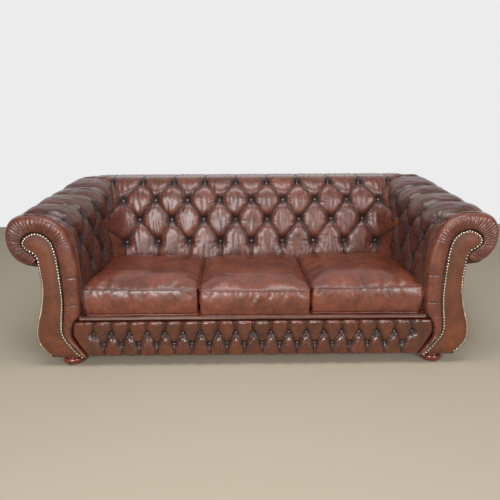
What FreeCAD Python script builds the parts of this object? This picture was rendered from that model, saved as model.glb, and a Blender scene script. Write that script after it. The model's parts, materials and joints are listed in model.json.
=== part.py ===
"""Three-seat chesterfield sofa with splayed scroll arms, as separate pieces.

Sizes are in millimetres. The origin is on the floor under the middle of the sofa,
+X to the right of someone who faces it, +Y towards its back and +Z up.
Distances called "deep" are measured back from the front of the arm facings.
"""
import FreeCAD, Part
import os
from math import atan2, cos, radians, sin, sqrt, tan

import Sketcher

Vector = FreeCAD.Vector
doc = FreeCAD.newDocument("chesterfield")

# Driving sizes

SIZES = {
    "sofa_width": 2200, "sofa_depth": 920, "sofa_height": 800,
    "arm_drop": 58, "arm_splay": 5,
    "roll_radius": 120, "corner_radius": 110,
    "arm_face_offset": 165, "arm_rake": 2, "arm_blend": 110,
    "back_face_offset": 255, "back_rake": 10, "back_blend": 150,
    "back_overhang": 120, "seat_level": 420, "pad_thickness": 50,
    "panel_thickness": 12, "lining_thickness": 3,
    "facing_thickness": 34, "band_setback": 8, "band_overlap": 18,
    "border_top": 231, "border_end": 124,
    "cover_base": 50, "frame_base": 52, "rail_top": 225, "deck_top": 256,
    "scroll_board": 27, "rail_thickness": 28, "former_thickness": 22,
    "stay_rail_height": 50, "top_rail_height": 70, "top_rail_width": 36,
    "rear_rail_height": 70, "cross_rail_height": 45, "cross_rail_place": 280,
    "block_length": 110, "block_depth": 93, "block_height": 40,
    "dowel_diameter": 10, "dowel_length": 90,
    "spring_wire": 4, "spring_width": 50, "spring_pitch": 84, "spring_spacing": 150,
    "clip_width": 22, "clip_cap": 2, "hessian_thickness": 2, "tie_wire": 3,
    "strap_width": 50, "strap_thickness": 2, "strap_spacing": 180,
    "cushion_height": 170, "cushion_front": 45, "cushion_gap": 2, "cushion_crown": 38,
    "cover_thickness": 2,
    "cushion_rim": 14, "button_diameter": 22, "button_height": 8, "back_button_end": 27,
    "arm_button_first": 50, "arm_button_last": 190,
    "border_button_end": 344, "border_button_diameter": 18,
    "border_row_low": 116, "border_row_high": 179,
    "foot_diameter": 107, "foot_pad": 74, "foot_collar": 84,
    "front_foot_deep": 60, "rear_foot_inset": 60, "foot_inset": 220,
    "stud_diameter": 10, "stud_length": 66, "nut_width": 28, "nut_plate": 3, "clearance": 2,
}

sheet = doc.addObject("Spreadsheet::Sheet", "sizes")
for row, (alias, value) in enumerate(SIZES.items(), start=1):
    sheet.set("A%d" % row, alias)
    sheet.set("B%d" % row, str(value))
    sheet.setAlias("B%d" % row, alias)
doc.recompute()


def size(alias):
    return float(sheet.get(alias))


half_width = size("sofa_width") / 2
front_y = -size("sofa_depth") / 2
radius = size("roll_radius")
pad = size("pad_thickness")
panel = size("panel_thickness")
deck = size("deck_top")
cover_base = size("cover_base")
frame_base = size("frame_base")
rail = size("rail_thickness")
board_deep = size("facing_thickness")
frame_deep = board_deep + size("scroll_board")
splay = tan(radians(size("arm_splay")))

# The back's roll, and where the arms turn into it

back_roll_deep = size("sofa_depth") - radius
back_roll_height = size("sofa_height") - radius
corner_deep = back_roll_deep - size("corner_radius")
outside_back = size("sofa_depth") - size("back_overhang")
panel_back = outside_back - panel


arm_top = size("sofa_height") - size("arm_drop")
arm_climb = size("arm_drop") / corner_deep


def arm_roll(deep):
    """Centre x and z of the right arm's roll, that far back."""
    return half_width - radius - splay * deep, arm_top - radius + arm_climb * deep


corner_x = arm_roll(corner_deep)[0] - size("corner_radius")

# The arm's outline seen from the front, as steps of arcs: x as shares of the roll's radius from its
# centre, heights of the stem as shares of the way from the covers' lower edge to the roll's centre

STEM_OUTER = [(-0.15, 0.0), ((0.17, 0.073), (0.34, 0.192)), ((0.32, 0.262), (0.22, 0.332)),
              ((-0.05, 0.533), (-0.12, 0.685)), (-0.12, 0.813)]
STEM_INNER = [(-0.85, 0.757), ((-0.86, 0.545), (-0.725, 0.322)), ((-0.69, 0.231), (-0.77, 0.17)),
              ((-1.05, 0.08), (-1.35, 0.0))]
HEAD = [((-0.04, -0.57), (0.15, -0.41)), ((0.42, -0.08), (0.21, 0.24)), ((-0.18, 0.37), (-0.55, 0.18)),
        ((-0.75, -0.18), (-0.85, -1.158))]
# The end of the front border: x as shares of the roll's radius, heights as shares of its own
BORDER_END = [(-0.42, 0.0), ((-0.13, 0.3), (0.0, 0.62)), ((-0.02, 0.85), (-0.12, 1.0))]
neck_outer = STEM_OUTER[-1][0] * radius


def placed_steps(steps, place):
    """The steps with each of their points put through place."""
    return [tuple(place(point) for point in step) if is_arc(step) else place(step) for step in steps]


def stem_steps(steps, deep):
    roll_x = arm_roll(deep)[0]
    rise = arm_roll(0)[1] - cover_base
    return placed_steps(steps, lambda point: (roll_x + point[0] * radius, cover_base + point[1] * rise))


def head_steps(deep):
    roll_x, roll_z = arm_roll(deep)[0], arm_roll(0)[1]
    return placed_steps(HEAD, lambda point: (roll_x + point[0] * radius, roll_z + point[1] * radius))


# Wires from steps: a point ends a straight line, a pair is an arc's middle point and its end

def from_front(deep):
    """Turns (x, height) into a point of the upright plane that far back."""
    return lambda x, z: Vector(x, front_y + deep, z)


def from_side(x):
    """Turns (deep, height) into a point of the upright plane at x."""
    return lambda deep, z: Vector(x, front_y + deep, z)


def is_arc(step):
    return isinstance(step[0], tuple)


def trace(steps, to_space, closed=True):
    here = steps[0]
    edges = []
    for step in steps[1:] + ([steps[0]] if closed else []):
        if is_arc(step):
            arc = Part.Arc(to_space(*here), to_space(*step[0]), to_space(*step[1]))
            edges.append(arc.toShape())
            here = step[1]
        else:
            edges.append(Part.LineSegment(to_space(*here), to_space(*step)).toShape())
            here = step
    return Part.Wire(edges)


def backwards(steps):
    ends = [step[1] if is_arc(step) else step for step in steps]
    turned = [ends[-1]]
    for index in range(len(steps) - 1, 0, -1):
        step = steps[index]
        turned.append((step[0], ends[index - 1]) if is_arc(step) else ends[index - 1])
    return turned


def line(a, b):
    return Part.LineSegment(a, b).toShape()


# Section of the upholstery, from the seat up the inside, over the roll and under it

def section(roll, face_offset, rake, blend, tuck, inset, foot):
    x, z = roll
    lean = radians(rake)
    level = size("seat_level")
    blend_z = z + radius - blend
    climb = (blend_z - level + blend * sin(lean)) / cos(lean)
    blend_x = x - face_offset + blend * cos(lean) + climb * sin(lean)
    small = blend - inset
    turn = radians(135 - rake / 2)
    face_top = (blend_x - small * cos(lean), blend_z + small * sin(lean))
    roll_in = radius - inset
    return [face_point(x, face_offset, rake, inset, foot), face_top,
            ((blend_x + small * cos(turn), blend_z + small * sin(turn)), (blend_x, blend_z + small)),
            (x, z + roll_in),
            ((x + roll_in, z), (x + tuck, z - sqrt(roll_in ** 2 - tuck ** 2)))]


def face_point(x, face_offset, rake, inset, height):
    """Where the inside face, moved in by inset, stands at a height."""
    lean = radians(rake)
    return x - face_offset + inset / cos(lean) + (height - size("seat_level")) * tan(lean), height


def arm_section(deep, inset, foot=deck):
    climb = arm_climb * deep
    steps = section(arm_roll(0), size("arm_face_offset"), size("arm_rake"), size("arm_blend"),
                    neck_outer, inset, foot - climb)
    return placed_steps(steps, lambda point: (point[0] - splay * deep, point[1] + climb))


def arm_face(deep, inset, height):
    x, _ = face_point(arm_roll(0)[0], size("arm_face_offset"), size("arm_rake"), inset,
                      height - arm_climb * deep)
    return x - splay * deep, height


back_tuck = outside_back - back_roll_deep


def back_section(inset):
    return section((back_roll_deep, back_roll_height), size("back_face_offset"),
                   size("back_rake"), size("back_blend"), back_tuck, inset, deck)


def back_face(inset, height):
    return face_point(back_roll_deep, size("back_face_offset"), size("back_rake"), inset, height)


def last_point(steps):
    return steps[-1][1] if is_arc(steps[-1]) else steps[-1]


def pad_outline(outer, inner):
    return outer + backwards(inner)


def filled_outline(outer):
    """The section closed straight down from its end under the roll to the seat deck."""
    return outer + [(last_point(outer)[0], deck)]


def along_arm(face, length, climb=0):
    return face.extrude(Vector(-splay * length, length, climb * length))


def above(level, solid):
    reach = 2 * half_width
    return solid.cut(Part.makeBox(2 * reach, 2 * reach, level, Vector(-reach, -reach, 0)))


# Document objects

PIECES = []


def keep(piece, node):
    piece.Label = node
    PIECES.append(piece)
    return piece


def feature(node, shape, kept=True):
    piece = doc.addObject("Part::Feature", node)
    piece.Shape = shape
    return keep(piece, node) if kept else piece


def mirrored(source, node):
    twin = doc.addObject("Part::Mirroring", node)
    twin.Source = source
    twin.Normal = Vector(1, 0, 0)
    return keep(twin, node)


def both_sides(node, build):
    right = build(node + "_right")
    return mirrored(right, node + "_left"), right


def cut(node, base, tools, kept=True):
    """The base less every tool, as a boolean of the document."""
    base_object = base
    for index, tool in enumerate(tools):
        last = index == len(tools) - 1
        step = doc.addObject("Part::Cut", node if last else node + "_cut")
        step.Base = base_object
        step.Tool = tool
        base_object = step
    return keep(base_object, node) if kept else base_object


def origin_plane(body, role):
    return next(part for part in body.Origin.OriginFeatures if part.Role == role)


def new_sketch(body, name, role="XY_Plane"):
    sketch = body.newObject("Sketcher::SketchObject", name)
    sketch.AttachmentSupport = [(origin_plane(body, role), "")]
    sketch.MapMode = "FlatFace"
    return sketch


def draw(sketch, edges):
    """Closed run of edges on a sketch, its ends tied together."""
    first = sketch.GeometryCount
    for edge in edges:
        sketch.addGeometry(edge, False)
    count = len(edges)
    for index in range(count):
        following = first + (index + 1) % count
        sketch.addConstraint(Sketcher.Constraint("Coincident", first + index, 2, following, 1))


def flat_lines(points):
    corners = [Vector(x, y, 0) for x, y in points]
    return [Part.LineSegment(a, b) for a, b in zip(corners, corners[1:] + corners[:1])]


def padded(node, edges, length, role="XY_Plane", moved=(None, None, None), kept=True, reverse=False):
    """A body from one sketch, padded by a sheet expression."""
    body = doc.addObject("PartDesign::Body", node if kept else node + "_blank")
    sketch = new_sketch(body, node + "_sketch", role)
    draw(sketch, edges)
    block = body.newObject("PartDesign::Pad", node + "_pad")
    block.Profile = sketch
    block.setExpression("Length", length)
    block.Reversed = reverse
    sketch.Visibility = False
    for axis, expression in zip("xyz", moved):
        if expression:
            body.setExpression("Placement.Base." + axis, expression)
    return keep(body, node) if kept else body


def plan_board(node, deep, thick, foot, rise, end_x, kept=True):
    """Level timber across the sofa with ends that follow the splay."""
    points = [(-end_x(deep), front_y + deep), (end_x(deep), front_y + deep),
              (end_x(deep + thick), front_y + deep + thick),
              (-end_x(deep + thick), front_y + deep + thick)]
    return padded(node, flat_lines(points), rise, moved=(None, None, foot), kept=kept)


def splayed(node, x_low, x_high, low, high, near, far, kept=True):
    """Timber along the right arm, x from the roll's centre."""
    x = arm_roll(near)[0]
    outline = [(x + x_low, low), (x + x_high, low), (x + x_high, high), (x + x_low, high)]
    wire = doc.addObject("Part::Feature", node + "_end")
    wire.Shape = trace(outline, from_front(near))
    timber = doc.addObject("Part::Extrusion", node)
    timber.Base = wire
    timber.DirMode = "Custom"
    timber.Dir = Vector(-splay, 1, 0)
    timber.LengthFwd = (far - near) * sqrt(1 + splay ** 2)
    timber.Solid = True
    return keep(timber, node) if kept else timber


# Feet, their studs and nut plates, and the blocks that they screw into

foot_places = []
for side, sign in (("left", -1), ("right", 1)):
    for end, deep in (("front", size("front_foot_deep")),
                      ("rear", outside_back - size("rear_foot_inset"))):
        x = half_width - size("foot_inset") - splay * deep
        foot_places.append((end + "_" + side, sign * x, front_y + deep))
foot_height = cover_base
block_top = frame_base + size("block_height")
stud_base = block_top + 2 * size("nut_plate") - size("stud_length")


def turned_foot(name, x, y):
    body = doc.addObject("PartDesign::Body", "foot_" + name)
    sketch = new_sketch(body, "foot_%s_profile" % name, "XZ_Plane")
    floor_r, belly_r, collar_r = size("foot_pad") / 2, size("foot_diameter") / 2, size("foot_collar") / 2
    profile = [(0, 0), (floor_r, 0), (belly_r, 0.34), (belly_r, 0.58), (collar_r, 0.84), (collar_r, 1),
               (0, 1)]
    draw(sketch, flat_lines([(reach, share * foot_height) for reach, share in profile]))
    turning = body.newObject("PartDesign::Revolution", "foot_%s_turning" % name)
    turning.Profile = sketch
    turning.ReferenceAxis = (sketch, ["V_Axis"])
    turning.Angle = 360
    top = new_sketch(body, "foot_%s_bore" % name)
    top.AttachmentOffset = FreeCAD.Placement(Vector(0, 0, foot_height), FreeCAD.Rotation())
    top.addGeometry(Part.Circle(Vector(0, 0, 0), Vector(0, 0, 1), size("stud_diameter") / 2), False)
    bore_size = top.addConstraint(Sketcher.Constraint("Diameter", 0, size("stud_diameter")))
    top.setExpression("Constraints[%d]" % bore_size, "sizes.stud_diameter")
    bore = body.newObject("PartDesign::Pocket", "foot_%s_hole" % name)
    bore.Profile = top
    bore.Length = foot_height - stud_base
    body.Tip = bore
    body.Placement = FreeCAD.Placement(Vector(x, y, 0), FreeCAD.Rotation())
    return keep(body, "foot_" + name)


for name, x, y in foot_places:
    turned_foot(name, x, y)


def stud(x, y):
    return Part.makeCylinder(size("stud_diameter") / 2, size("stud_length"), Vector(x, y, stud_base))


studs = feature("foot_studs", Part.makeCompound(
    [stud(x, y) for _, x, y in foot_places]))


def nut_plate(x, y):
    width = size("nut_width")
    plate = Part.makeBox(width, width, size("nut_plate"), Vector(x - width / 2, y - width / 2, block_top))
    return plate.cut(stud(x, y))


nut_plates = feature("nut_plates", Part.makeCompound([nut_plate(x, y) for _, x, y in foot_places]))


def foot_block(name, x, y):
    long, wide = size("block_length"), size("block_depth")
    near = board_deep if name.startswith("front") else panel_back - wide
    return Part.makeBox(long, wide, size("block_height"), Vector(x - long / 2, front_y + near, frame_base))


solid_blocks = Part.makeCompound([foot_block(*place) for place in foot_places])
blocks_blank = feature("foot_blocks_blank", solid_blocks, kept=False)
foot_blocks = cut("foot_blocks", blocks_blank, [studs])

# Dowels in the joints of the seat frame

side_low = -0.7 * radius
back_rail_deep = back_face(pad, deck)[0] + 5
deck_far = back_rail_deep + rail


def side_face(deep):
    return arm_roll(deep)[0] + side_low


def dowel(x, deep, height):
    radius = size("dowel_diameter") / 2
    length = size("dowel_length")
    return Part.makeCylinder(radius, length, Vector(x - length / 2, front_y + deep, height), Vector(1, 0, 0))


dowel_heights = [frame_base + share * (size("rail_top") - frame_base) for share in (0.45, 0.8)]
dowel_pins = []
for sign in (-1, 1):
    for height in dowel_heights:
        front_joint = last_point(stem_steps(STEM_INNER, board_deep)[:-1])[0]
        dowel_pins.append(dowel(sign * front_joint, board_deep + size("scroll_board") / 2, height))
        back_joint = side_face(back_rail_deep) - size("dowel_length") / 2 + rail / 2
        dowel_pins.append(dowel(sign * back_joint, back_rail_deep + rail / 2, height))
dowels = feature("frame_dowels", Part.makeCompound(dowel_pins))

# Arms: outside panels, boards cut to the scroll and the rails between them


def outside_arm():
    """Curved outside panel, its upper edge tucked behind the roll."""
    outer = stem_steps(STEM_OUTER, board_deep)
    neck = last_point(outer)
    top = back_roll_height - radius + pad
    outer = outer + [(neck[0], top)]
    inner = placed_steps(outer, lambda point: (point[0] - panel, point[1]))
    face = Part.Face(trace(outer + backwards(inner), from_front(board_deep)))
    return feature("outside_arm_blank", along_arm(face, panel_back - board_deep), kept=False)


outside_arm_blank = outside_arm()
rail_foot = "sizes.frame_base"
side_rail_blank = splayed("side_rail_blank", side_low, side_low + rail, frame_base, size("rail_top"),
                          frame_deep, panel_back, kept=False)
side_rails = both_sides("side_rail", lambda node: cut(node, side_rail_blank, [foot_blocks, dowels]))
top_rail_low = neck_outer - panel - size("top_rail_width")
top_rail_foot = arm_roll(0)[1] - radius + 0.5 * size("top_rail_height")
arm_top_rails = both_sides("arm_top_rail", lambda node: splayed(
    node, top_rail_low, neck_outer - panel, top_rail_foot, top_rail_foot + size("top_rail_height"),
    frame_deep - size("scroll_board") / 2, corner_deep + 0.7 * size("corner_radius")))
stay_low = arm_face(0, pad + size("lining_thickness"), deck)[0] - arm_roll(0)[0] + size("clearance")
stay_foot = deck + 3 * size("clearance")
arm_stay_rails = both_sides("arm_stay_rail", lambda node: splayed(
    node, stay_low, stay_low + rail, stay_foot, stay_foot + size("stay_rail_height"),
    frame_deep - size("scroll_board") / 2, back_face(0, deck)[0]))


def lining(node):
    """Thin board behind the inside arm's padding."""
    length = back_face(0, deck)[0] - board_deep
    low = deck - arm_climb * length
    near = arm_section(board_deep, pad, low)
    far = arm_section(board_deep, pad + size("lining_thickness"), low)
    face = Part.Face(trace([near[0], near[1], far[1], far[0]], from_front(board_deep)))
    return feature(node, above(deck, along_arm(face, length, arm_climb)))


arm_linings = both_sides("arm_lining", lining)


def arm_board(deep, thick):
    """Board cut to the arm's stem and to the inside of its roll."""
    stem = Part.Face(trace(stem_steps(STEM_OUTER, deep) + stem_steps(STEM_INNER, deep), from_front(deep)))
    scroll = arm_section(deep, pad)
    end = last_point(scroll)
    middle = end[0] - panel
    roll = Part.Face(trace(scroll + [(middle, end[1]), (middle, deck)], from_front(deep)))
    return along_arm(stem, thick).fuse(along_arm(roll, thick, arm_climb)).removeSplitter()


def arm_timber(node, deep, thick, foot):
    blank = feature(node + "_blank", above(foot, arm_board(deep, thick)), kept=False)
    return cut(node, blank, [outside_arm_blank, side_rails[1], arm_top_rails[1], arm_stay_rails[1],
                             arm_linings[1], foot_blocks, nut_plates, studs, dowels])


scroll_boards = both_sides("scroll_board", lambda node: arm_timber(
    node, board_deep, size("scroll_board"), cover_base))
former_deep = (frame_deep + back_face(0, deck)[0]) / 2 + 2 * rail
both_sides("arm_former", lambda node: arm_timber(
    node, former_deep, size("former_thickness"), frame_base))

# Seat frame


rail_rise = "sizes.rail_top - sizes.frame_base"
front_rail_blank = plan_board("front_rail", board_deep, size("scroll_board"), rail_foot, rail_rise,
                              lambda deep: arm_roll(0)[0] - radius / 2, kept=False)
front_rail = cut("front_rail", front_rail_blank,
                 [scroll_boards[0], scroll_boards[1], foot_blocks, nut_plates, studs, dowels])
back_rail_blank = plan_board("back_rail", back_rail_deep, rail, rail_foot, rail_rise, side_face, kept=False)
back_rail = cut("back_rail", back_rail_blank, [dowels])
rear_rail_blank = plan_board("rear_rail", panel_back - rail, rail, rail_foot, "sizes.rear_rail_height",
                             side_face, kept=False)
rear_rail = cut("rear_rail", rear_rail_blank, [foot_blocks])


def cross_rail(node):
    length = back_rail_deep - frame_deep
    x = size("cross_rail_place") - rail / 2
    points = [(x, front_y + frame_deep), (x + rail, front_y + frame_deep),
              (x + rail, front_y + frame_deep + length), (x, front_y + frame_deep + length)]
    return padded(node, flat_lines(points), "sizes.cross_rail_height", moved=(None, None, rail_foot))


both_sides("cross_rail", cross_rail)

# Back frame: raked rails at its face, a top rail inside the panel and boards cut to the scroll


def raked_rail(node, foot, height, reach):
    """Rail across the back whose face leans with the padding."""
    base = pad + size("strap_thickness")
    corners = [back_face(base, foot), back_face(base, foot + height),
               back_face(base + rail, foot + height), back_face(base + rail, foot)]
    face = Part.Face(trace(corners, from_side(-reach)))
    return feature(node, face.extrude(Vector(2 * reach, 0, 0)))


outer_former_x = corner_x - size("former_thickness") / 2 - 2 * size("clearance")
rail_reach = outer_former_x + size("former_thickness") / 2
back_stay_rail = raked_rail("back_stay_rail", stay_foot, size("stay_rail_height"), rail_reach)
back_top_foot = back_roll_height - radius + 0.2 * pad
back_inner_rail = raked_rail("back_inner_rail", back_top_foot, size("stay_rail_height"), rail_reach)
outer_rail_deep = panel_back - size("top_rail_width")
back_outer_rail = plan_board(
    "back_outer_rail", outer_rail_deep, size("top_rail_width"), "%g" % top_rail_foot,
    "sizes.top_rail_height", lambda deep: arm_roll(deep)[0] + top_rail_low)


def back_former(node, x):
    """Upright board cut to the inside of the back and its roll."""
    inner = back_section(pad)
    end = last_point(inner)
    outline = inner + [(panel_back, end[1]), (panel_back, frame_base), (deck_far, frame_base),
                       (deck_far, deck)]
    thick = size("former_thickness")
    face = Part.Face(trace(outline, from_side(x - thick / 2)))
    blank = feature(node + "_blank", face.extrude(Vector(thick, 0, 0)), kept=False)
    return cut(node, blank, [back_rail, rear_rail, back_stay_rail, back_inner_rail, back_outer_rail,
                             foot_blocks, nut_plates, dowels])


for node, x in (("back_former_left_outer", -outer_former_x),
                ("back_former_left_inner", -size("cross_rail_place")),
                ("back_former_right_inner", size("cross_rail_place")),
                ("back_former_right_outer", outer_former_x)):
    back_former(node, x)

# Springs, their clips and tie wires, webbing and the covered seat deck

spring_first = board_deep + size("clip_width") / 2
spring_last = back_rail_deep + rail - size("clip_width") / 2
spring_count = int(2 * (arm_face(spring_last, 0, deck)[0] - size("spring_width")) // size("spring_spacing"))
spring_xs = [(index - (spring_count - 1) / 2) * size("spring_spacing") for index in range(spring_count)]
wire = size("spring_wire")
spring_top = size("rail_top") + wire


def zigzag_spring():
    """Flat spring wire that runs from side to side on its way from front to back."""
    runs = int((spring_last - spring_first) // (size("spring_pitch") / 2)) // 2 * 2
    pitch = (spring_last - spring_first) / runs
    reach = size("spring_width") / 2
    solids = []
    for index in range(runs + 1):
        deep = spring_first + index * pitch - wire / 2
        solids.append(Part.makeBox(2 * reach, wire, wire, Vector(-reach, front_y + deep, size("rail_top"))))
        if index < runs:
            x = reach - wire if index % 2 else -reach
            solids.append(Part.makeBox(wire, pitch + wire, wire,
                                       Vector(x, front_y + deep, size("rail_top"))))
    return solids[0].multiFuse(solids[1:]).removeSplitter()


def row_of(shape, places):
    copies = []
    for x in places:
        twin = shape.copy()
        twin.translate(Vector(x, 0, 0))
        copies.append(twin)
    return Part.makeCompound(copies)


one_spring = zigzag_spring()
seat_springs = feature("seat_springs", row_of(one_spring, spring_xs))


def spring_clips_pair():
    width = size("clip_width")
    height = wire + size("clip_cap")
    ends = []
    for deep in (spring_first, spring_last):
        corner = Vector(-width / 2, front_y + deep - width / 2, size("rail_top"))
        ends.append(Part.makeBox(width, width, height, corner).cut(one_spring))
    return Part.makeCompound(ends)


feature("spring_clips", row_of(spring_clips_pair(), spring_xs))
deck_low = spring_top + size("clip_cap")


def tie_wires():
    radius = size("tie_wire") / 2
    span = 2 * spring_xs[-1] + size("spring_width")
    middle = (spring_first + spring_last) / 2
    quarter = (spring_last - spring_first) / 4
    return Part.makeCompound([
        Part.makeBox(span, 2 * radius, size("clip_cap"),
                     Vector(-span / 2, front_y + deep - radius, spring_top))
        for deep in (middle - quarter, middle, middle + quarter)])


feature("spring_tie_wires", tie_wires())


def deck_half_width(deep):
    return arm_face(deep, pad, deck)[0] - 14


def deck_sheet(node, near, low, thick):
    points = [(-deck_half_width(near), front_y + near), (deck_half_width(near), front_y + near),
              (deck_half_width(deck_far), front_y + deck_far),
              (-deck_half_width(deck_far), front_y + deck_far)]
    return padded(node, flat_lines(points), thick, moved=(None, None, low))


deck_low_text = "(sizes.rail_top + sizes.spring_wire + sizes.clip_cap)"
deck_sheet("spring_cover", board_deep, deck_low_text, "sizes.hessian_thickness")


def seat_platform(node):
    """Covered deck pad whose front lip shows between the border and the cushions."""
    near = size("band_setback") + 4
    lip_half = arm_face(near, 0, deck)[0] - size("band_overlap")
    half = deck_half_width(board_deep)
    far = deck_half_width(deck_far)
    points = [(-lip_half, near), (lip_half, near), (lip_half, board_deep), (half, board_deep),
              (far, deck_far), (-far, deck_far), (-half, board_deep), (-lip_half, board_deep)]
    low = deck_low_text + " + sizes.hessian_thickness"
    return padded(node, flat_lines([(x, front_y + deep) for x, deep in points]),
                  "sizes.deck_top - (%s)" % low, moved=(None, None, low))


seat_platform("seat_platform")


def back_webbing(node):
    thick = size("strap_thickness")
    low, high = stay_foot, back_top_foot + size("stay_rail_height")
    corners = [back_face(pad, low), back_face(pad, high), back_face(pad + thick, high),
               back_face(pad + thick, low)]
    width = size("strap_width")
    strap = Part.Face(trace(corners, from_side(-width / 2))).extrude(Vector(width, 0, 0))
    count = int((outer_former_x - width) // size("strap_spacing"))
    return feature(node, row_of(strap, [index * size("strap_spacing") for index in range(-count, count + 1)]))


back_webbing("back_webbing")

# Upholstery of the back: padding with its rolled top, turned round both corners


def back_solid(steps):
    """The section drawn across the back and turned round both corners."""
    half = Part.Face(trace(steps, from_side(0)))
    return half.extrude(Vector(corner_x, 0, 0))


def corner_solid(steps):
    """The part of the section beyond the corner's axis, turned a quarter round it."""
    face = Part.Face(trace(steps, from_side(corner_x)))
    reach = 4 * radius
    beyond = Part.Face(trace([(corner_deep, -reach), (corner_deep + reach, -reach),
                              (corner_deep + reach, 2 * reach), (corner_deep, 2 * reach)],
                             from_side(corner_x)))
    part = face.common(beyond)
    return part.revolve(Vector(corner_x, front_y + corner_deep, 0), Vector(0, 0, 1), -90)


def back_half(steps):
    return back_solid(steps).fuse(corner_solid(steps))


back_outline = pad_outline(back_section(0), back_section(pad))
half_back = back_half(back_outline)
back_pad = feature("back_pad", half_back.fuse(half_back.mirror(Vector(0, 0, 0), Vector(1, 0, 0)))
                   .removeSplitter())
back_filled = feature("back_filled_blank", back_solid(filled_outline(back_section(0))), kept=False)

# Upholstery of the arms: padding, the band at the front, and the facing set into it


def arm_pad(node):
    length = corner_deep - board_deep
    low = deck - arm_climb * length
    outline = pad_outline(arm_section(board_deep, 0, low), arm_section(board_deep, pad, low))
    shell = along_arm(Part.Face(trace(outline, from_front(board_deep))), length, arm_climb)
    blank = feature(node + "_blank", above(deck, shell), kept=False)
    return cut(node, blank, [back_filled])


both_sides("arm_pad", arm_pad)


def facing_steps():
    """Closed outline of the facing: stem, scrolled head and foot."""
    return stem_steps(STEM_OUTER, 0) + head_steps(0) + stem_steps(STEM_INNER, 0)[1:]


def facing(node):
    outline = Part.Face(trace(facing_steps(), from_front(0)))
    return feature(node, outline.extrude(Vector(0, board_deep, 0)))


facings = both_sides("facing", facing)


def border_end():
    """Right end of the front border, from its foot to its upper edge."""
    rise = size("border_top") - cover_base
    widest = arm_roll(0)[0] - size("border_end")
    return placed_steps(BORDER_END, lambda point: (widest + point[0] * radius, cover_base + point[1] * rise))


def front_band(node):
    """Padded band round the facing, from the border up the inside and over the roll."""
    deep = size("band_setback")
    proud = size("band_overlap")
    rise = arm_section(0, 0)
    low_face = (rise[0][0] - proud, rise[0][1] + proud / 3)
    high_face = (rise[1][0] - proud, rise[1][1] - radius / 2)
    end = stem_steps([(-0.5, 0.78), (-0.7, 0.0)], 0)
    steps = border_end() + [low_face, high_face] + rise[1:] + end
    blank = feature(node + "_blank", Part.Face(trace(steps, from_front(deep)))
                    .extrude(Vector(0, board_deep - deep, 0)), kept=False)
    hole = Part.Face(trace(facing_steps(), from_front(0))).extrude(Vector(0, board_deep, 0))
    return cut(node, blank, [feature(node + "_hole", hole, kept=False)])


both_sides("front_band", front_band)


def front_border(node):
    deep = size("band_setback")
    right = border_end()
    left = placed_steps(backwards(right), lambda point: (-point[0], point[1]))
    face = Part.Face(trace(right + left, from_front(deep)))
    return feature(node, face.extrude(Vector(0, board_deep - deep, 0)))


front_border("front_border")

# Outside panels and dust cover


def outside_back_panel(node):
    right = stem_steps(STEM_OUTER, panel_back)
    top = last_point(back_section(pad))[1] - panel / 2
    right = right + [(last_point(right)[0], top)]
    left = placed_steps(backwards(right), lambda point: (-point[0], point[1]))
    face = Part.Face(trace(right + left, from_front(panel_back)))
    blank = feature(node + "_blank", face.extrude(Vector(0, panel, 0)), kept=False)
    return cut(node, blank, [back_pad])


outside_back_panel("outside_back")
both_sides("outside_arm", lambda node: cut(node, outside_arm_blank, [back_pad]))


def dust_cover(node):
    edge = STEM_OUTER[0][0] * radius - panel - 1
    points = [(arm_roll(deep)[0] + edge, front_y + deep) for deep in (frame_deep, panel_back)]
    corners = [(-points[0][0], points[0][1]), points[0], points[1], (-points[1][0], points[1][1])]
    blank = padded(node, flat_lines(corners), "sizes.frame_base - sizes.cover_base",
                   moved=(None, None, "sizes.cover_base"), kept=False)
    return cut(node, blank, [studs])


dust_cover("dust_cover")

# Buttons


def button(diameter):
    """Eight-sided button that lies on z = 0 and narrows to its face."""
    height = size("button_height")
    rings = []
    for radius_here, z in ((diameter / 2, 0), (0.62 * diameter / 2, height)):
        corners = [Vector(radius_here * cos(turn), radius_here * sin(turn), z)
                   for turn in (radians(45 * index) for index in range(8))]
        rings.append(Part.makePolygon(corners + corners[:1]))
    return Part.makeLoft(rings, True, True)


def seated(shape, place, normal):
    twin = shape.copy()
    twin.Placement = FreeCAD.Placement(place, FreeCAD.Rotation(Vector(0, 0, 1), normal))
    return twin


def on_section(steps, face_at, rake, blend, height):
    """Where the section's inner side stands at a height, and how far it leans back there."""
    face_top, crown = steps[1], steps[2][1]
    if height <= face_top[1]:
        return face_at(height)[0], radians(rake)
    rise = height - (crown[1] - blend)
    reach = sqrt(blend ** 2 - rise ** 2)
    return crown[0] - reach, atan2(rise, reach)


# Rows of the back: share of the way up from the seat to the top, and how many buttons
BACK_ROWS = [(0.108, 9), (0.424, 8), (0.703, 9), (0.916, 10)]
# Rows of an arm: share of the way up, where the row starts in button spacings, how many buttons
ARM_ROWS = [(0.124, 1.0, 3), (0.559, 0.5, 3), (0.87, 0.0, 4)]


def back_buttons(node):
    shape = button(size("button_diameter"))
    spacing = 2 * (corner_x - size("back_button_end")) / (BACK_ROWS[-1][1] - 1)
    solids = []
    for share, count in BACK_ROWS:
        height = size("seat_level") + share * (size("sofa_height") - size("seat_level"))
        deep, lean = on_section(back_section(0), lambda z: back_face(0, z), size("back_rake"),
                                size("back_blend"), height)
        for index in range(count):
            x = (index - (count - 1) / 2) * spacing
            solids.append(seated(shape, Vector(x, front_y + deep, height), Vector(0, -cos(lean), sin(lean))))
    return feature(node, Part.makeCompound(solids))


back_buttons("back_buttons")


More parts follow.
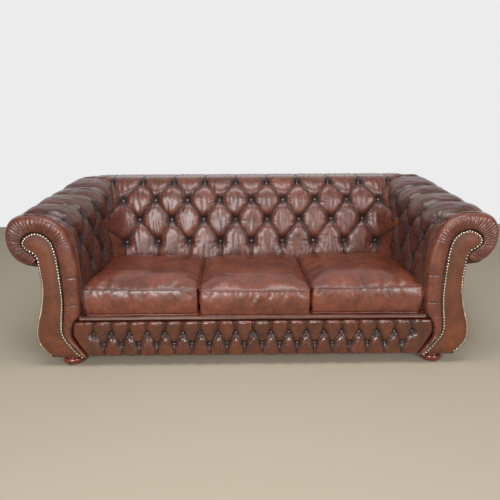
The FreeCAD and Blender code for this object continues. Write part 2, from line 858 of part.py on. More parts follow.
def arm_buttons(node):
    shape = button(size("button_diameter"))
    first = size("arm_button_first")
    spacing = (corner_deep - size("arm_button_last") - first) / 3
    solids = []
    for share, start, count in ARM_ROWS:
        height = size("seat_level") + share * (arm_top - size("seat_level"))
        for index in range(count):
            deep = first + (start + index) * spacing
            x, lean = on_section(arm_section(deep, 0), lambda z: arm_face(deep, 0, z), size("arm_rake"),
                                 size("arm_blend"), height)
            solids.append(seated(shape, Vector(x, front_y + deep, height),
                                 Vector(-cos(lean), -splay * cos(lean) - arm_climb * sin(lean), sin(lean))))
    return feature(node, Part.makeCompound(solids))


both_sides("arm_buttons", arm_buttons)


def border_buttons(node):
    shape = button(size("border_button_diameter"))
    rows = (("border_row_low", 18), ("border_row_high", 19))
    pitch = 2 * (half_width - size("border_button_end")) / (rows[-1][1] - 1)
    solids = []
    for height, count in rows:
        for index in range(count):
            place = Vector((index - (count - 1) / 2) * pitch, front_y + size("band_setback"), size(height))
            solids.append(seated(shape, place, Vector(0, -1, 0)))
    return feature(node, Part.makeCompound(solids))


border_buttons("border_buttons")

# Loose seat cushions: a foam core in a cover of its own


def cushion_block(node, plan, grow):
    """Crowned block on the plan's corners, all faces moved in by grow."""
    corners = []
    for (x, deep), sx, sy in zip(plan, (1, -1, -1, 1), (1, 1, -1, -1)):
        corners.append((x + sx * grow, front_y + deep + sy * grow))
    rise = "sizes.cushion_height - 2 * %g" % grow
    foot = "sizes.deck_top + sizes.cushion_gap / 4 + %g" % grow
    block = padded(node, flat_lines(corners), rise, moved=(None, None, foot), kept=False)
    doc.recompute()
    box = block.Shape.BoundBox
    crown = size("cushion_crown") - grow
    rim = size("cushion_rim") - grow
    level = [(index, edge) for index, edge in enumerate(block.Shape.Edges, start=1)
             if edge.BoundBox.ZLength < 0.01]
    whole = doc.addObject("Part::Fillet", node + "_whole")
    whole.Base = block
    whole.Edges = [(index, *(2 * (crown if edge.BoundBox.ZMin > box.Center.z else rim,)))
                   for index, edge in level]
    return whole


def cushion(name, share_from, share_to):
    near, far = size("cushion_front"), back_face(0, deck)[0] - size("cushion_gap")
    plan = []
    for deep, share in ((near, share_from), (near, share_to), (far, share_to), (far, share_from)):
        half = arm_face(deep, 0, deck)[0]
        gap = size("cushion_gap") * (1 if abs(share) == 1 else 0.5)
        inward = gap if share == share_from else -gap
        plan.append((share * half + inward, deep))
    outside = cushion_block("cushion_outside_" + name, plan, 0)
    core = keep(cushion_block("cushion_core_" + name, plan, size("cover_thickness")), "cushion_core_" + name)
    return cut("cushion_cover_" + name, outside, [core])


for name, share_from, share_to in (("left", -1, -1 / 3), ("middle", -1 / 3, 1 / 3), ("right", 1 / 3, 1)):
    cushion(name, share_from, share_to)
doc.recompute()

# Check every object, then write the pieces


def broken(item):
    return any(state in ("Invalid", "Error") for state in item.State)


faults = [item.Label for item in doc.Objects if broken(item)]
if faults:
    raise RuntimeError("Failed objects: " + ", ".join(faults))
os.makedirs("parts", exist_ok=True)
for piece in PIECES:
    if piece.Shape.isNull() or not piece.Shape.isValid() or not piece.Shape.Solids:
        raise RuntimeError("Unsound shape: " + piece.Label)
for piece in PIECES:
    piece.Shape.exportStep(os.path.join("parts", piece.Label + ".step"))
print(len(PIECES), "pieces")
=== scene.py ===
"""Three-seat chesterfield in antique leather: all that is seen of it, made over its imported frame.

Metres. +X is to the right of someone who faces the sofa and its front faces -Y. Distances called
"deep" are measured back from the front of the arm facings, as in the frame's own source.
"""

import json
import math

import bmesh
import bpy
import numpy as np
from mathutils import Matrix, Vector


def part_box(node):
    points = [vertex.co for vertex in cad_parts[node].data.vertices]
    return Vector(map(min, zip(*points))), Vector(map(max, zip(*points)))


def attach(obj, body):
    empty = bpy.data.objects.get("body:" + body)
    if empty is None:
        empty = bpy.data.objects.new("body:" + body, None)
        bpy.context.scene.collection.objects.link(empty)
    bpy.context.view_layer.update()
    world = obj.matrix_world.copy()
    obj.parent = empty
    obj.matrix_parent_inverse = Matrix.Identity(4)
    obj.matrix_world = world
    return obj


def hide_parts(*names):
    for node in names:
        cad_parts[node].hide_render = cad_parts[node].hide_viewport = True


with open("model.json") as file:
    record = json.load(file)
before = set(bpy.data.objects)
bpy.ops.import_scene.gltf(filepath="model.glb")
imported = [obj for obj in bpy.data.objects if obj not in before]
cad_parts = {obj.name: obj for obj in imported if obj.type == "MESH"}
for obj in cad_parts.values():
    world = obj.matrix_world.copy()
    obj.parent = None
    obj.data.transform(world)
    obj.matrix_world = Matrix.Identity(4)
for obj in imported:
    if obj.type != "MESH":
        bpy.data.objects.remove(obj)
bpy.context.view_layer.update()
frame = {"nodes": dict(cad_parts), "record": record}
scene = bpy.context.scene

# Sizes that the frame's source gives

FRONT = -0.460  # Y of the front of the arm facings
ROLL = 0.120  # radius of the arms' and the back's roll
SEAT = 0.420  # height from which their faces lean outwards
BOTTOM = 0.050  # lower edge of the covers
ARM_ACROSS, BACK_DEEP = 0.980, 0.800  # middles of the rolls
SPLAY = math.tan(math.radians(5))  # how fast the arms draw in towards the back
CORNER_DEEP, CORNER_TURN = 0.690, 0.110  # where the back turns into the arms, and its radius there
CLIMB = 0.058 / CORNER_DEEP  # how fast the arms rise towards the back
CORNER_X = ARM_ACROSS - SPLAY * CORNER_DEEP - CORNER_TURN
SIDES = ((-1, "left"), (1, "right"))


# Small tools

def unit(x):
    return np.clip(x, 0, 1)


def bell(x, width, power=2):
    return np.exp(-(x / width) ** power)


def rounded(x, radius):
    """Rise 0 to 1 of a rounded edge, a distance x in from it."""
    return np.sqrt(unit(1 - (1 - unit(x / radius)) ** 2))


def smoothstep(x, low=0.0, high=1.0):
    x = unit((x - low) / (high - low))
    return x * x * (3 - 2 * x)


def waves(u, v, length, seed, stretch=(1, 1), count=7):
    """Smooth uneven field, about -1 to 1, whose swells are about that long."""
    dice = np.random.default_rng(seed)
    total = np.zeros(np.shape(u))
    for _ in range(count):
        turn, phase = dice.uniform(0, 2 * np.pi, 2)
        pitch = 2 * np.pi / (length * dice.uniform(0.7, 1.5))
        total += np.sin(pitch * (u / stretch[0] * np.cos(turn) + v / stretch[1] * np.sin(turn)) + phase)
    return total / (1.5 * math.sqrt(count))


def smooth_path(points, count, closed=False):
    """Points an even step apart on a smooth line through the given ones."""
    points = np.asarray(points, float)
    if closed:
        padded = np.vstack([points[-1], points, points[:2]])
    else:
        padded = np.vstack([2 * points[0] - points[1], points, 2 * points[-1] - points[-2]])
    fine = []
    for before, here, there, after in zip(padded, padded[1:], padded[2:], padded[3:]):
        for t in np.linspace(0, 1, 12, endpoint=False):
            fine.append(0.5 * (2 * here + (there - before) * t
                               + (2 * before - 5 * here + 4 * there - after) * t * t
                               + (3 * here - before - 3 * there + after) * t ** 3))
    fine.append(points[0] if closed else points[-1])
    fine = np.array(fine)
    run = np.concatenate([[0], np.cumsum(np.linalg.norm(np.diff(fine, axis=0), axis=1))])
    steps = np.linspace(0, run[-1], count, endpoint=not closed)
    return np.column_stack([np.interp(steps, run, column) for column in fine.T])


def linked(name, data):
    made = bpy.data.objects.new(name, data)
    scene.collection.objects.link(made)
    return made


def mesh_object(name, bm, material):
    mesh = bpy.data.meshes.new(name)
    bm.to_mesh(mesh)
    bm.free()
    mesh.materials.append(material)
    return linked(name, mesh)


def piece_from(name, bm, material, body="frame", stands_for=()):
    """Turns a bmesh into a smooth piece that rides on a body."""
    piece = mesh_object(name, bm, material)
    piece.data.shade_smooth()
    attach(piece, body)
    if stands_for:
        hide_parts(*stands_for)
    return piece


def stretched_grid(columns, rows, place, ring=False, ends=False):
    """A grid whose points go where place(u, v) says, with how dark it says that each lies: antiquing plus
    painted shade.

    With ring, its first and last rows are joined; with ends, its open ends are closed."""
    bm = bmesh.new()
    bmesh.ops.create_grid(bm, x_segments=columns, y_segments=rows, size=0.5)
    flat = np.array([vertex.co[:2] for vertex in bm.verts]) + 0.5
    fold = bm.verts.layers.float.new("fold")
    for vertex, spot, depth in zip(bm.verts, *place(flat[:, 0], flat[:, 1])):
        vertex.co = spot
        vertex[fold] = depth
    if ring:
        bmesh.ops.remove_doubles(bm, verts=bm.verts, dist=1e-5)
    if ends:
        rims = [edge for edge in bm.edges if edge.is_boundary]
        bmesh.ops.holes_fill(bm, edges=rims, sides=0)
    bmesh.ops.recalc_face_normals(bm, faces=bm.faces)
    return bm


def cover(name, columns, rows, place, material, node, ends=True):
    """Skin right round a part of the frame, which stands in for that part and hides it."""
    skin = stretched_grid(columns, rows, place, True, ends)
    piece = piece_from(name, skin, material, stands_for=(node,))


def tube(name, points, thick, material, body="frame", closed=False):
    """Round piping along a line of points."""
    line = bpy.data.curves.new(name, "CURVE")
    line.dimensions = "3D"
    line.bevel_depth = thick / 2
    line.bevel_resolution = 2
    line.use_fill_caps = True
    spline = line.splines.new("POLY")
    spline.points.add(len(points) - 1)
    for spot, point in zip(spline.points, points):
        spot.co = (*point, 1)
    spline.use_cyclic_u = closed
    holder = linked(name + "_line", line)
    bpy.context.view_layer.update()
    mesh = bpy.data.meshes.new_from_object(holder.evaluated_get(bpy.context.evaluated_depsgraph_get()))
    bpy.data.objects.remove(holder)
    bm = bmesh.new()
    bm.from_mesh(mesh)
    bpy.data.meshes.remove(mesh)
    bmesh.ops.remove_doubles(bm, verts=bm.verts, dist=1e-6)
    bmesh.ops.recalc_face_normals(bm, faces=bm.faces)
    return piece_from(name, bm, material, body)


# Materials

def feed(tree, node, values):
    """Plain values or links for a node's sockets."""
    for name, value in values.items():
        if isinstance(value, (int, float, tuple)):
            node.inputs[name].default_value = value
        else:
            tree.links.new(value, node.inputs[name])


def add_node(tree, kind, values, **settings):
    node = tree.nodes.new("ShaderNode" + kind)
    for name, value in settings.items():
        setattr(node, name, value)
    feed(tree, node, values)
    return node


def math_node(tree, operation, a, b, clamp=False):
    return add_node(tree, "Math", {0: a, 1: b}, operation=operation, use_clamp=clamp).outputs[0]


def mix_colour(tree, share, a, b):
    return add_node(tree, "Mix", {0: share, 6: a, 7: b}, data_type="RGBA").outputs[2]


def noise_node(tree, place, scale, detail, rough, stretch=None):
    if stretch:
        place = add_node(tree, "Mapping", {"Vector": place, "Scale": stretch}).outputs["Vector"]
    noise = {"Vector": place, "Scale": scale, "Detail": detail, "Roughness": rough}
    return add_node(tree, "TexNoise", noise).outputs["Fac"]


def map_range(tree, value, low, high, to_low=0.0, to_high=1.0):
    span = {"Value": value, "From Min": low, "From Max": high, "To Min": to_low, "To Max": to_high}
    return add_node(tree, "MapRange", span).outputs["Result"]


def colour(code):
    """Linear colour of a web colour."""
    parts = [int(code[i:i + 2], 16) / 255 for i in (1, 3, 5)]
    return tuple(p / 12.92 if p <= 0.04045 else ((p + 0.055) / 1.055) ** 2.4 for p in parts) + (1,)


def aged_hide_group():
    """Colour, roughness and relief of antiqued hide: rubbed tone, folds darkened partly by antiquing and
    partly as painted shade, pores and hair creases.
    """
    tree = bpy.data.node_groups.new("aged_hide", "ShaderNodeTree")
    for way, sockets in (("INPUT", {"Place": "Vector", "Fold": "Float", "Tone": "Color", "Rubbed": "Color",
                                    "Antique_and_shade_tone": "Color", "Smooth": "Float"}),
                         ("OUTPUT", {"Color": "Color", "Roughness": "Float", "Relief": "Float"})):
        for name, kind in sockets.items():
            tree.interface.new_socket(name=name, in_out=way, socket_type="NodeSocket" + kind)
    take = tree.nodes.new("NodeGroupInput").outputs
    place, fold = take["Place"], take["Fold"]
    clouds = noise_node(tree, place, 9, 4, 0.6)
    mottle = noise_node(tree, place, 45, 4, 0.62)
    rub = math_node(tree, "ADD", map_range(tree, clouds, 0.36, 0.66, 0, 0.62),
                    map_range(tree, mottle, 0.35, 0.7, 0, 0.38))
    rub = math_node(tree, "MULTIPLY", rub, math_node(tree, "SUBTRACT", 1.0, fold, clamp=True), clamp=True)
    body = mix_colour(tree, rub, take["Tone"], take["Rubbed"])
    blots = map_range(tree, noise_node(tree, place, 22, 5, 0.65), 0.6, 0.8, 0, 0.35)
    # Darkening: the fold mask (antiquing pigment plus painted shade in creases, pits and gaps) and stain
    # blots.
    dark = math_node(tree, "ADD", math_node(tree, "MULTIPLY", fold, 0.94), blots, clamp=True)
    pores = add_node(tree, "TexVoronoi", {"Vector": place, "Scale": 620}).outputs["Distance"]
    crease = add_node(tree, "TexVoronoi", {"Vector": place, "Scale": 95}, feature="DISTANCE_TO_EDGE")
    cracks = map_range(tree, crease.outputs["Distance"], 0.0, 0.12, -0.35, 0.0)
    relief = math_node(tree, "ADD", math_node(tree, "MULTIPLY", pores, 0.3), cracks)
    hair = math_node(tree, "MULTIPLY", noise_node(tree, place, 150, 5, 0.7), 1.1)
    rough = math_node(tree, "ADD", take["Smooth"], map_range(tree, mottle, 0.3, 0.7, -0.07, 0.1))
    rough = math_node(tree, "ADD", rough, math_node(tree, "MULTIPLY", fold, 0.45), clamp=True)
    feed(tree, tree.nodes.new("NodeGroupOutput"),
         {"Color": mix_colour(tree, dark, body, take["Antique_and_shade_tone"]), "Roughness": rough,
          "Relief": math_node(tree, "ADD", relief, hair)})
    return tree


AGED_HIDE = aged_hide_group()


def new_material(name):
    """A material, its tree, its main shader and where its surface lies on its object."""
    material = bpy.data.materials.new(name)
    material.use_nodes = True
    tree = material.node_tree
    return material, tree, tree.nodes["Principled BSDF"], add_node(tree, "TexCoord", {}).outputs["Object"]


def surface(tree, shader, tone, rough, height, depth):
    """Colour, roughness and relief that change over a material."""
    bump = add_node(tree, "Bump", {"Distance": depth, "Strength": 1.0, "Height": height})
    feed(tree, shader, {"Base Color": tone, "Roughness": rough, "Normal": bump.outputs["Normal"]})


def hide(name, tone, rubbed, antique_and_shade_tone, smooth=0.36, coat=0.3, coat_rough=0.16):
    material, tree, shader, place = new_material(name)
    # The fold attribute darkens the hide towards the third colour: antiquing pigment plus painted shade.
    fold = add_node(tree, "Attribute", {}, attribute_name="fold").outputs["Fac"]
    aged = {"Place": place, "Fold": fold, "Tone": colour(tone), "Rubbed": colour(rubbed),
            "Antique_and_shade_tone": colour(antique_and_shade_tone), "Smooth": smooth}
    made = add_node(tree, "Group", aged, node_tree=AGED_HIDE).outputs
    feed(tree, shader, {"Coat Weight": coat, "Coat Roughness": coat_rough})
    surface(tree, shader, made["Color"], made["Roughness"], made["Relief"], 0.0006)
    return material


# Third colour of each hide: near-black mixed in by the fold mask, antiquing pigment plus painted shade.
back_hide = hide("back_hide", "#4a231a", "#74402f", "#100604", smooth=0.27, coat=0.25, coat_rough=0.18)
# Same leather as the back, made darker: painted shade of the arms' inner faces; it also covers the outside
# panels and the rear piping.
arm_hide_painted_shade = hide("arm_hide_painted_shade", "#3a1c16", "#5c342a", "#0e0504", smooth=0.29, coat=0.25, coat_rough=0.22)
band_hide = hide("band_hide", "#4e251a", "#76402d", "#140806", smooth=0.28, coat=0.3, coat_rough=0.18)
facing_hide = hide("facing_hide", "#4f240f", "#733c20", "#180904", smooth=0.36, coat=0.3)
border_hide = hide("border_hide", "#3c1a0d", "#672f18", "#0c0403", smooth=0.18, coat=0.7, coat_rough=0.10)
cushion_hide = hide("cushion_hide", "#50271b", "#7d412c", "#180a06", smooth=0.30, coat=0.35, coat_rough=0.18)
button_hide = hide("button_hide", "#2c130d", "#4c241a", "#0c0503", smooth=0.2, coat=0.8, coat_rough=0.06)
deck_hide = hide("deck_hide", "#422012", "#5e321e", "#140805", smooth=0.36, coat=0.3)


def turned_wood(name, dark, light):
    material, tree, shader, place = new_material(name)
    rings = noise_node(tree, place, 30, 4, 0.6, stretch=(1, 1, 5))
    pores = noise_node(tree, place, 240, 3, 0.6, stretch=(1, 1, 0.15))
    tone = mix_colour(tree, map_range(tree, rings, 0.35, 0.68), colour(dark), colour(light))
    tone = mix_colour(tree, map_range(tree, pores, 0.56, 0.7, 0, 0.5), tone, colour("#1c0705"))
    feed(tree, shader, {"Coat Weight": 0.7, "Coat Roughness": 0.08})
    surface(tree, shader, tone, map_range(tree, rings, 0.3, 0.7, 0.2, 0.32), pores, 0.0002)
    return material


def sawn_timber(name, dark, light, along):
    material, tree, shader, place = new_material(name)
    grain = noise_node(tree, place, 70, 5, 0.6, stretch=along)
    fleck = noise_node(tree, place, 260, 3, 0.6, stretch=along)
    tone = mix_colour(tree, map_range(tree, grain, 0.3, 0.7), colour(dark), colour(light))
    tone = mix_colour(tree, map_range(tree, fleck, 0.6, 0.75, 0, 0.35), tone, colour("#6b4a2a"))
    surface(tree, shader, tone, map_range(tree, fleck, 0.3, 0.7, 0.6, 0.8), fleck, 0.0004)
    return material


def worn_metal(name, bright, dull, rough, metallic=1.0, scale=160):
    material, tree, shader, place = new_material(name)
    patches = noise_node(tree, place, scale, 4, 0.65)
    tone = mix_colour(tree, map_range(tree, patches, 0.38, 0.66), colour(bright), colour(dull))
    feed(tree, shader, {"Metallic": metallic})
    rough = map_range(tree, patches, 0.35, 0.7, rough - 0.06, rough + 0.16)
    surface(tree, shader, tone, rough, patches, 0.0002)
    return material


def woven(name, light, dark, threads, rough=0.9):
    """Plain weave of threads that run along X and Y, with slubs."""
    material, tree, shader, place = new_material(name)
    wave = {"Vector": place, "Scale": threads, "Distortion": 1.5, "Detail": 1}
    weave = math_node(tree, "MULTIPLY", *(add_node(tree, "TexWave", wave, bands_direction=way).outputs["Fac"]
                                          for way in "XY"))
    slubs = noise_node(tree, place, 60, 4, 0.6, stretch=(1, 6, 1))
    tone = mix_colour(tree, weave, colour(dark), colour(light))
    tone = mix_colour(tree, map_range(tree, slubs, 0.4, 0.7, 0, 0.4), tone, colour(dark))
    surface(tree, shader, tone, map_range(tree, slubs, 0.3, 0.7, rough - 0.05, rough + 0.05), weave, 0.0006)
    return material


show_wood = turned_wood("show_wood", "#3d0f08", "#7a2413")
beech = sawn_timber("beech", "#a57f52", "#cba67a", (0.12, 1, 1))
spring_steel = worn_metal("spring_steel", "#9aa0a6", "#5e6266", 0.34)
clip_steel = worn_metal("clip_steel", "#3a3b3e", "#222326", 0.5, 0.6)
zinc = worn_metal("zinc", "#b4b8bb", "#80868a", 0.36)
nail_brass = worn_metal("nail_brass", "#efe6cf", "#a8946a", 0.2, scale=300)
strap_cloth = woven("strap_cloth", "#54483a", "#2b241d", 420)
jute = woven("jute", "#b79c6e", "#6f5836", 330)
lining_card = woven("lining_card", "#a8946c", "#8d7a56", 60, 0.85)
seat_foam = woven("seat_foam", "#d8c99a", "#c4b384", 900)
under_cloth = woven("under_cloth", "#27282a", "#121314", 700)


# Sections of the padding

def arc(centre, radius, start, end):
    turns = np.radians(np.linspace(start, end, 40))
    return np.column_stack([centre[0] + radius * np.cos(turns), centre[1] + radius * np.sin(turns)])


class Section:
    """Padding seen from its end: up the face, over the roll and under it, by distance along it."""

    def __init__(self, across, height, offset, rake, blend, foot, end):
        lean = math.radians(rake)
        bend_z = height + ROLL - blend
        climb = (bend_z - SEAT + blend * math.sin(lean)) / math.cos(lean)
        bend = (across - offset + blend * math.cos(lean) + climb * math.sin(lean), bend_z)
        start = (across - offset + (foot - SEAT) * math.tan(lean), foot)
        line = np.vstack([[start], arc(bend, blend, 180 - rake, 90), arc((across, height), ROLL, 90, end)])
        fine = [line[0]]
        for a, b in zip(line, line[1:]):
            pieces = max(1, int(np.linalg.norm(b - a) / 0.004))
            fine.extend(a + (b - a) * k / pieces for k in range(1, pieces + 1))
        self.points = np.array(fine)
        steps = np.linalg.norm(np.diff(self.points, axis=0), axis=1)
        self.run = np.concatenate([[0], np.cumsum(steps)])
        self.length = self.run[-1]
        tangent = np.gradient(self.points, self.run, axis=0)
        tangent /= np.linalg.norm(tangent, axis=1)[:, None]
        self.normals = np.column_stack([-tangent[:, 1], tangent[:, 0]])
        self.crown = np.interp(bend[0], self.points[:, 0], self.run)

    def at(self, s):
        """Across, height and outward normal a distance s along the section."""
        return [np.interp(s, self.run, column) for column in (*self.points.T, *self.normals.T)]

    def up_to(self, height):
        rising = self.run < self.crown
        return np.interp(height, self.points[rising, 1], self.run[rising])


back_section = Section(BACK_DEEP, 0.680, 0.255, 10, 0.150, 0.240, -90)
arm_section = Section(ARM_ACROSS, 0.622, 0.165, 2, 0.110, 0.232, -96.9)


# Deep buttoning: domes of leather between folds that run from button to button

def buttoned(u, v, buttons, folds, reach, seed):
    """Dome 0 to 1 between the folds, distance to a fold and to a button, and the stars of tucks."""
    to_fold = np.full(u.shape, 1.0)
    drift_u = u + 0.0022 * waves(u, v, 0.05, seed)
    drift_v = v + 0.0022 * waves(u, v, 0.05, seed + 1)
    for (u0, v0), (u1, v1) in folds:
        du, dv = u1 - u0, v1 - v0
        along = unit(((drift_u - u0) * du + (drift_v - v0) * dv) / (du * du + dv * dv))
        to_fold = np.minimum(to_fold, np.hypot(drift_u - u0 - along * du, drift_v - v0 - along * dv))
    to_button = np.full(u.shape, 1.0)
    tucks = np.zeros(u.shape)
    for index, (u0, v0) in enumerate(buttons):
        off = np.hypot(u - u0, v - v0)
        near = off < 0.10
        turn = np.arctan2(v[near] - v0, u[near] - u0)
        spokes = np.cos(11 * turn + 2.0 * index + 1.6 * waves(turn, off[near] * 0, 1.6, seed + index))
        span = 0.036 + 0.012 * waves(turn, off[near] * 0, 2.5, seed + 50 + index)
        rise = smoothstep(off[near], 0.006, 0.018)
        tucks[near] += spokes * rise * bell(off[near], span, 2.4)
        to_button = np.minimum(to_button, off)
    dome = rounded(to_fold, reach)
    return dome, to_fold, to_button, tucks


def leather(u, v, buttons, folds, reach, puff, seed, dip=0.016, pit=0.019, thread=0.0026, tuck=0.0026,
            crinkle=0.0011):
    """Height of buttoned leather over its section, and how dark it is in its folds: antiquing plus painted
    shade in the crease lines, button pits and tuck troughs.
    """
    dome, to_fold, to_button, tucks = buttoned(u, v, buttons, folds, reach, seed)
    low, high = puff
    height = low + (high - low) * dome * (1 + 0.14 * waves(u, v, 0.17, seed + 5))
    height -= dip * bell(to_button, 1.25 * pit)
    height += tuck * tucks + crinkle * waves(u, v, 0.045, seed + 7, stretch=(0.5, 2.6)) * dome
    # Painted shade with antiquing: a dark thread along each crease, dark pits round the buttons, dark tuck
    # troughs and a soft dark band beside the creases.
    fold = 0.95 * bell(to_fold, thread, 1.5) + 0.95 * bell(to_button, pit, 2.2)
    fold += 0.5 * unit(-tucks) ** 1.3 + 0.14 * bell(to_fold, 0.26 * reach)
    return height, unit(fold)


def between_rows(low, high, widest):
    """Folds from each button of a row to its neighbours in the next."""
    return [(a, b) for a in low for b in high if abs(a[0] - b[0]) < widest]


# Back: four rows of buttons, pleats over the roll, and both corners

ROW_D, ROW_C, ROW_B, ROW_A = (s + 0.016 for s in (0.208, 0.330, 0.438, 0.549))
row_d = [((i - 4) * 0.1743, ROW_D) for i in range(9)]
row_c = [((i - 3.5) * 0.1783, ROW_C) for i in range(8)]
row_b = [((i - 4) * 0.1775, ROW_B) for i in range(9)]
row_a = [((i - 4.5) * 0.1733, ROW_A) for i in range(10)]
corner_c = [(-0.800, ROW_C + 0.02), (0.800, ROW_C + 0.02)]
TURN_LENGTH = CORNER_TURN * math.pi / 2
back_half = CORNER_X + TURN_LENGTH
back_buttons = row_d + row_c + row_b + row_a
back_folds = (between_rows(row_d, row_c + corner_c, 0.11) + between_rows(row_c + corner_c, row_b, 0.11)
              + between_rows(row_b, row_a, 0.11)
              + [((u, v), (u * 1.004, back_section.length)) for u, v in row_a]
              + [((u, v), (u * 1.01, 0.0)) for u, v in row_d])
fans = [((u, v), (u + turn, v - 0.085 + abs(turn)))
        for u, v in row_d for turn in (-0.05, -0.024, 0.022, 0.047)]
fans += [((u, v), (u + turn, v + 0.075 - abs(turn))) for u, v in row_b + row_c for turn in (-0.026, 0.028)]
for side in (-1, 1):
    middle = side * (CORNER_X + 0.45 * TURN_LENGTH)
    back_folds.append(((side * 0.80, ROW_A + 0.06), (middle, ROW_A + 0.13)))
    back_folds.append(((middle, ROW_A + 0.13), (middle, back_section.length)))
    back_folds.append(((side * back_half, ROW_A), (side * back_half, back_section.length)))


def round_corner(u, across, height):
    """Place of a point of the back's section, straight across the back and turned at the corners."""
    side = np.sign(u)
    beyond = np.clip((np.abs(u) - CORNER_X) / CORNER_TURN, 0, math.pi / 2)
    out = across - CORNER_DEEP
    turning = out > 0
    x = np.minimum(np.abs(u), CORNER_X)
    x = np.where(turning, x + out * np.sin(beyond), x + np.minimum(-out, 0.03) * np.sin(beyond))
    deep = np.where(turning, CORNER_DEEP + out * np.cos(beyond), across)
    return side * x, deep


def back_point(u, s, rise):
    """Place on the back's padding, raised from its section."""
    across, height, nx, nz = back_section.at(s)
    low = smoothstep(0.54 - s, 0.0, 0.18)
    toward = 0.17 * np.clip((np.abs(u) - 0.66) / 0.13, 0, 1.3) ** 2 * low
    x, deep = round_corner(u, across + nx * rise, height)
    return np.column_stack([x, FRONT + deep - toward, height + nz * rise])


def fan_folds(u, v, lines, seed):
    """Shallow creases that fade along each line."""
    crease = np.zeros(u.shape)
    drift = u + 0.003 * waves(u, v, 0.06, seed)
    for (u0, v0), (u1, v1) in lines:
        du, dv = u1 - u0, v1 - v0
        along = ((drift - u0) * du + (v - v0) * dv) / (du * du + dv * dv)
        inside = (along > 0.1) & (along < 1)
        off = np.hypot(drift - u0 - along * du, v - v0 - along * dv)
        crease = np.maximum(crease, inside * bell(off, 0.0042) * unit(1 - along) ** 0.6)
    return crease


def back_height(u, s):
    face = 1 - smoothstep(s, ROW_A + 0.005, ROW_A + 0.09)
    low, high = -0.005 + 0.006 * face, -0.001 + 0.017 * face
    height, fold = leather(u, s, back_buttons, back_folds, 0.036, (low, high), 11, dip=0.019, pit=0.022,
                           tuck=0.0034)
    crease = fan_folds(u, s, fans, 19)
    over = bell(unit(s - ROW_A), 0.045) * (s > ROW_A - 0.004)
    gash = np.zeros(u.shape)
    for u0, _ in row_a:
        gash = np.maximum(gash, bell(u - u0, 0.012) * over)
    # Fan creases and the gashes above row A are darkened too: painted shade in pleats that are also cut into
    # the leather.
    return height - 0.003 * crease - 0.009 * gash, unit(fold + 0.4 * crease + 0.85 * gash)


SHOWN, LINING = 0.95, -0.035  # share of v that a pad's outside takes, and the height of its hidden inside


def lined(v, height):
    return np.where((v > SHOWN + 0.001) & (v < 0.999), LINING, height)


def back_cover(u, v):
    path = (u - 0.5) * 2 * back_half
    outer = unit(v / SHOWN)
    rest = back_section.length - 0.70
    s = np.where(outer < 0.72, outer / 0.72 * 0.70, 0.70 + (outer - 0.72) / 0.28 * rest)
    inner = unit((v - SHOWN) / 0.05)
    s = np.where(v > SHOWN, back_section.length * (1 - inner), s)
    height, fold = back_height(path, s)
    return back_point(path, s, lined(v, height)), fold


cover("back_leather", 400, 200, back_cover, back_hide, "back_pad")


# Arms: three rows of buttons, pleats over the roll

def arm_point(side, deep, s, rise):
    across, height, nx, nz = arm_section.at(s)
    return np.column_stack([side * (across - SPLAY * deep + nx * rise), FRONT + deep,
                            height + CLIMB * deep + nz * rise])


def arm_row(height, deeps):
    return [(deep, float(arm_section.up_to(height - CLIMB * deep))) for deep in deeps]


arm_top = arm_row(0.700, (0.05, 0.20, 0.35, 0.50))
arm_middle = arm_row(0.600, (0.125, 0.275, 0.425))
arm_low = arm_row(0.460, (0.20, 0.35, 0.50))
arm_buttons = arm_top + arm_middle + arm_low
arm_end = arm_section.length
arm_folds = (between_rows(arm_low, arm_middle, 0.09) + between_rows(arm_middle, arm_top, 0.09)
             + [((u, v), (u + 0.004, arm_end)) for u, v in arm_top]
             + [((u, v), (u, 0.0)) for u, v in arm_low]
             + [((0.69, 0.30), (0.69, arm_end)), (arm_middle[0], (0.045, arm_low[0][1] - 0.06))])


def arm_cover(side, seed):
    def place(u, v):
        deep = 0.022 + u * (CORNER_DEEP + 0.025 - 0.022)
        inner = unit((v - SHOWN) / 0.05)
        s = np.where(v > SHOWN, arm_end * (1 - inner), unit(v / SHOWN) * arm_end)
        face = 1 - smoothstep(s, arm_top[0][1] - 0.05, arm_top[0][1] + 0.11)
        height, fold = leather(deep, s, arm_buttons, arm_folds, 0.058,
                               (-0.022 + 0.023 * face, 0.007 + 0.018 * face), seed, thread=0.0040,
                               crinkle=0.0022)
        height = height + 0.0012 * waves(deep, s, 0.05, seed + 21)
        return arm_point(side, deep, s, lined(v, height)), fold
    return place


for side, hand in SIDES:
    cover("arm_leather_" + hand, 140, 190, arm_cover(side, 31 + side), arm_hide_painted_shade, "arm_pad_" + hand)


# Buttons

def domed_button(bm, centre, normal, width, thick):
    """Covered button, flat behind and domed in front."""
    made = bmesh.ops.create_uvsphere(bm, u_segments=12, v_segments=7, radius=1.0)["verts"]
    turn = Vector(normal).to_track_quat("Z", "Y").to_matrix().to_4x4()
    shape = Matrix.Translation(Vector(centre)) @ turn @ Matrix.Diagonal((width / 2, width / 2, thick, 1))
    bmesh.ops.transform(bm, matrix=shape, verts=made)


def button_set(name, places, width, thick, stands_for):
    bm = bmesh.new()
    bm.verts.layers.float.new("fold")
    for point, normal in places:
        domed_button(bm, point, normal, width, thick)
    return piece_from(name, bm, button_hide, stands_for=stands_for)


def pressed_in(point, buttons, rise, way=1):
    """Centre and normal of each button on the padding whose places point(u, s, rise) gives."""
    places = []
    for u, s in buttons:
        spot, beside, above = (point(*np.array([[a], [b], [rise]]))[0]
                               for a, b in ((u, s), (u + 0.002, s), (u, s + 0.002)))
        places.append((spot, way * np.cross(beside - spot, above - spot)))
    return places


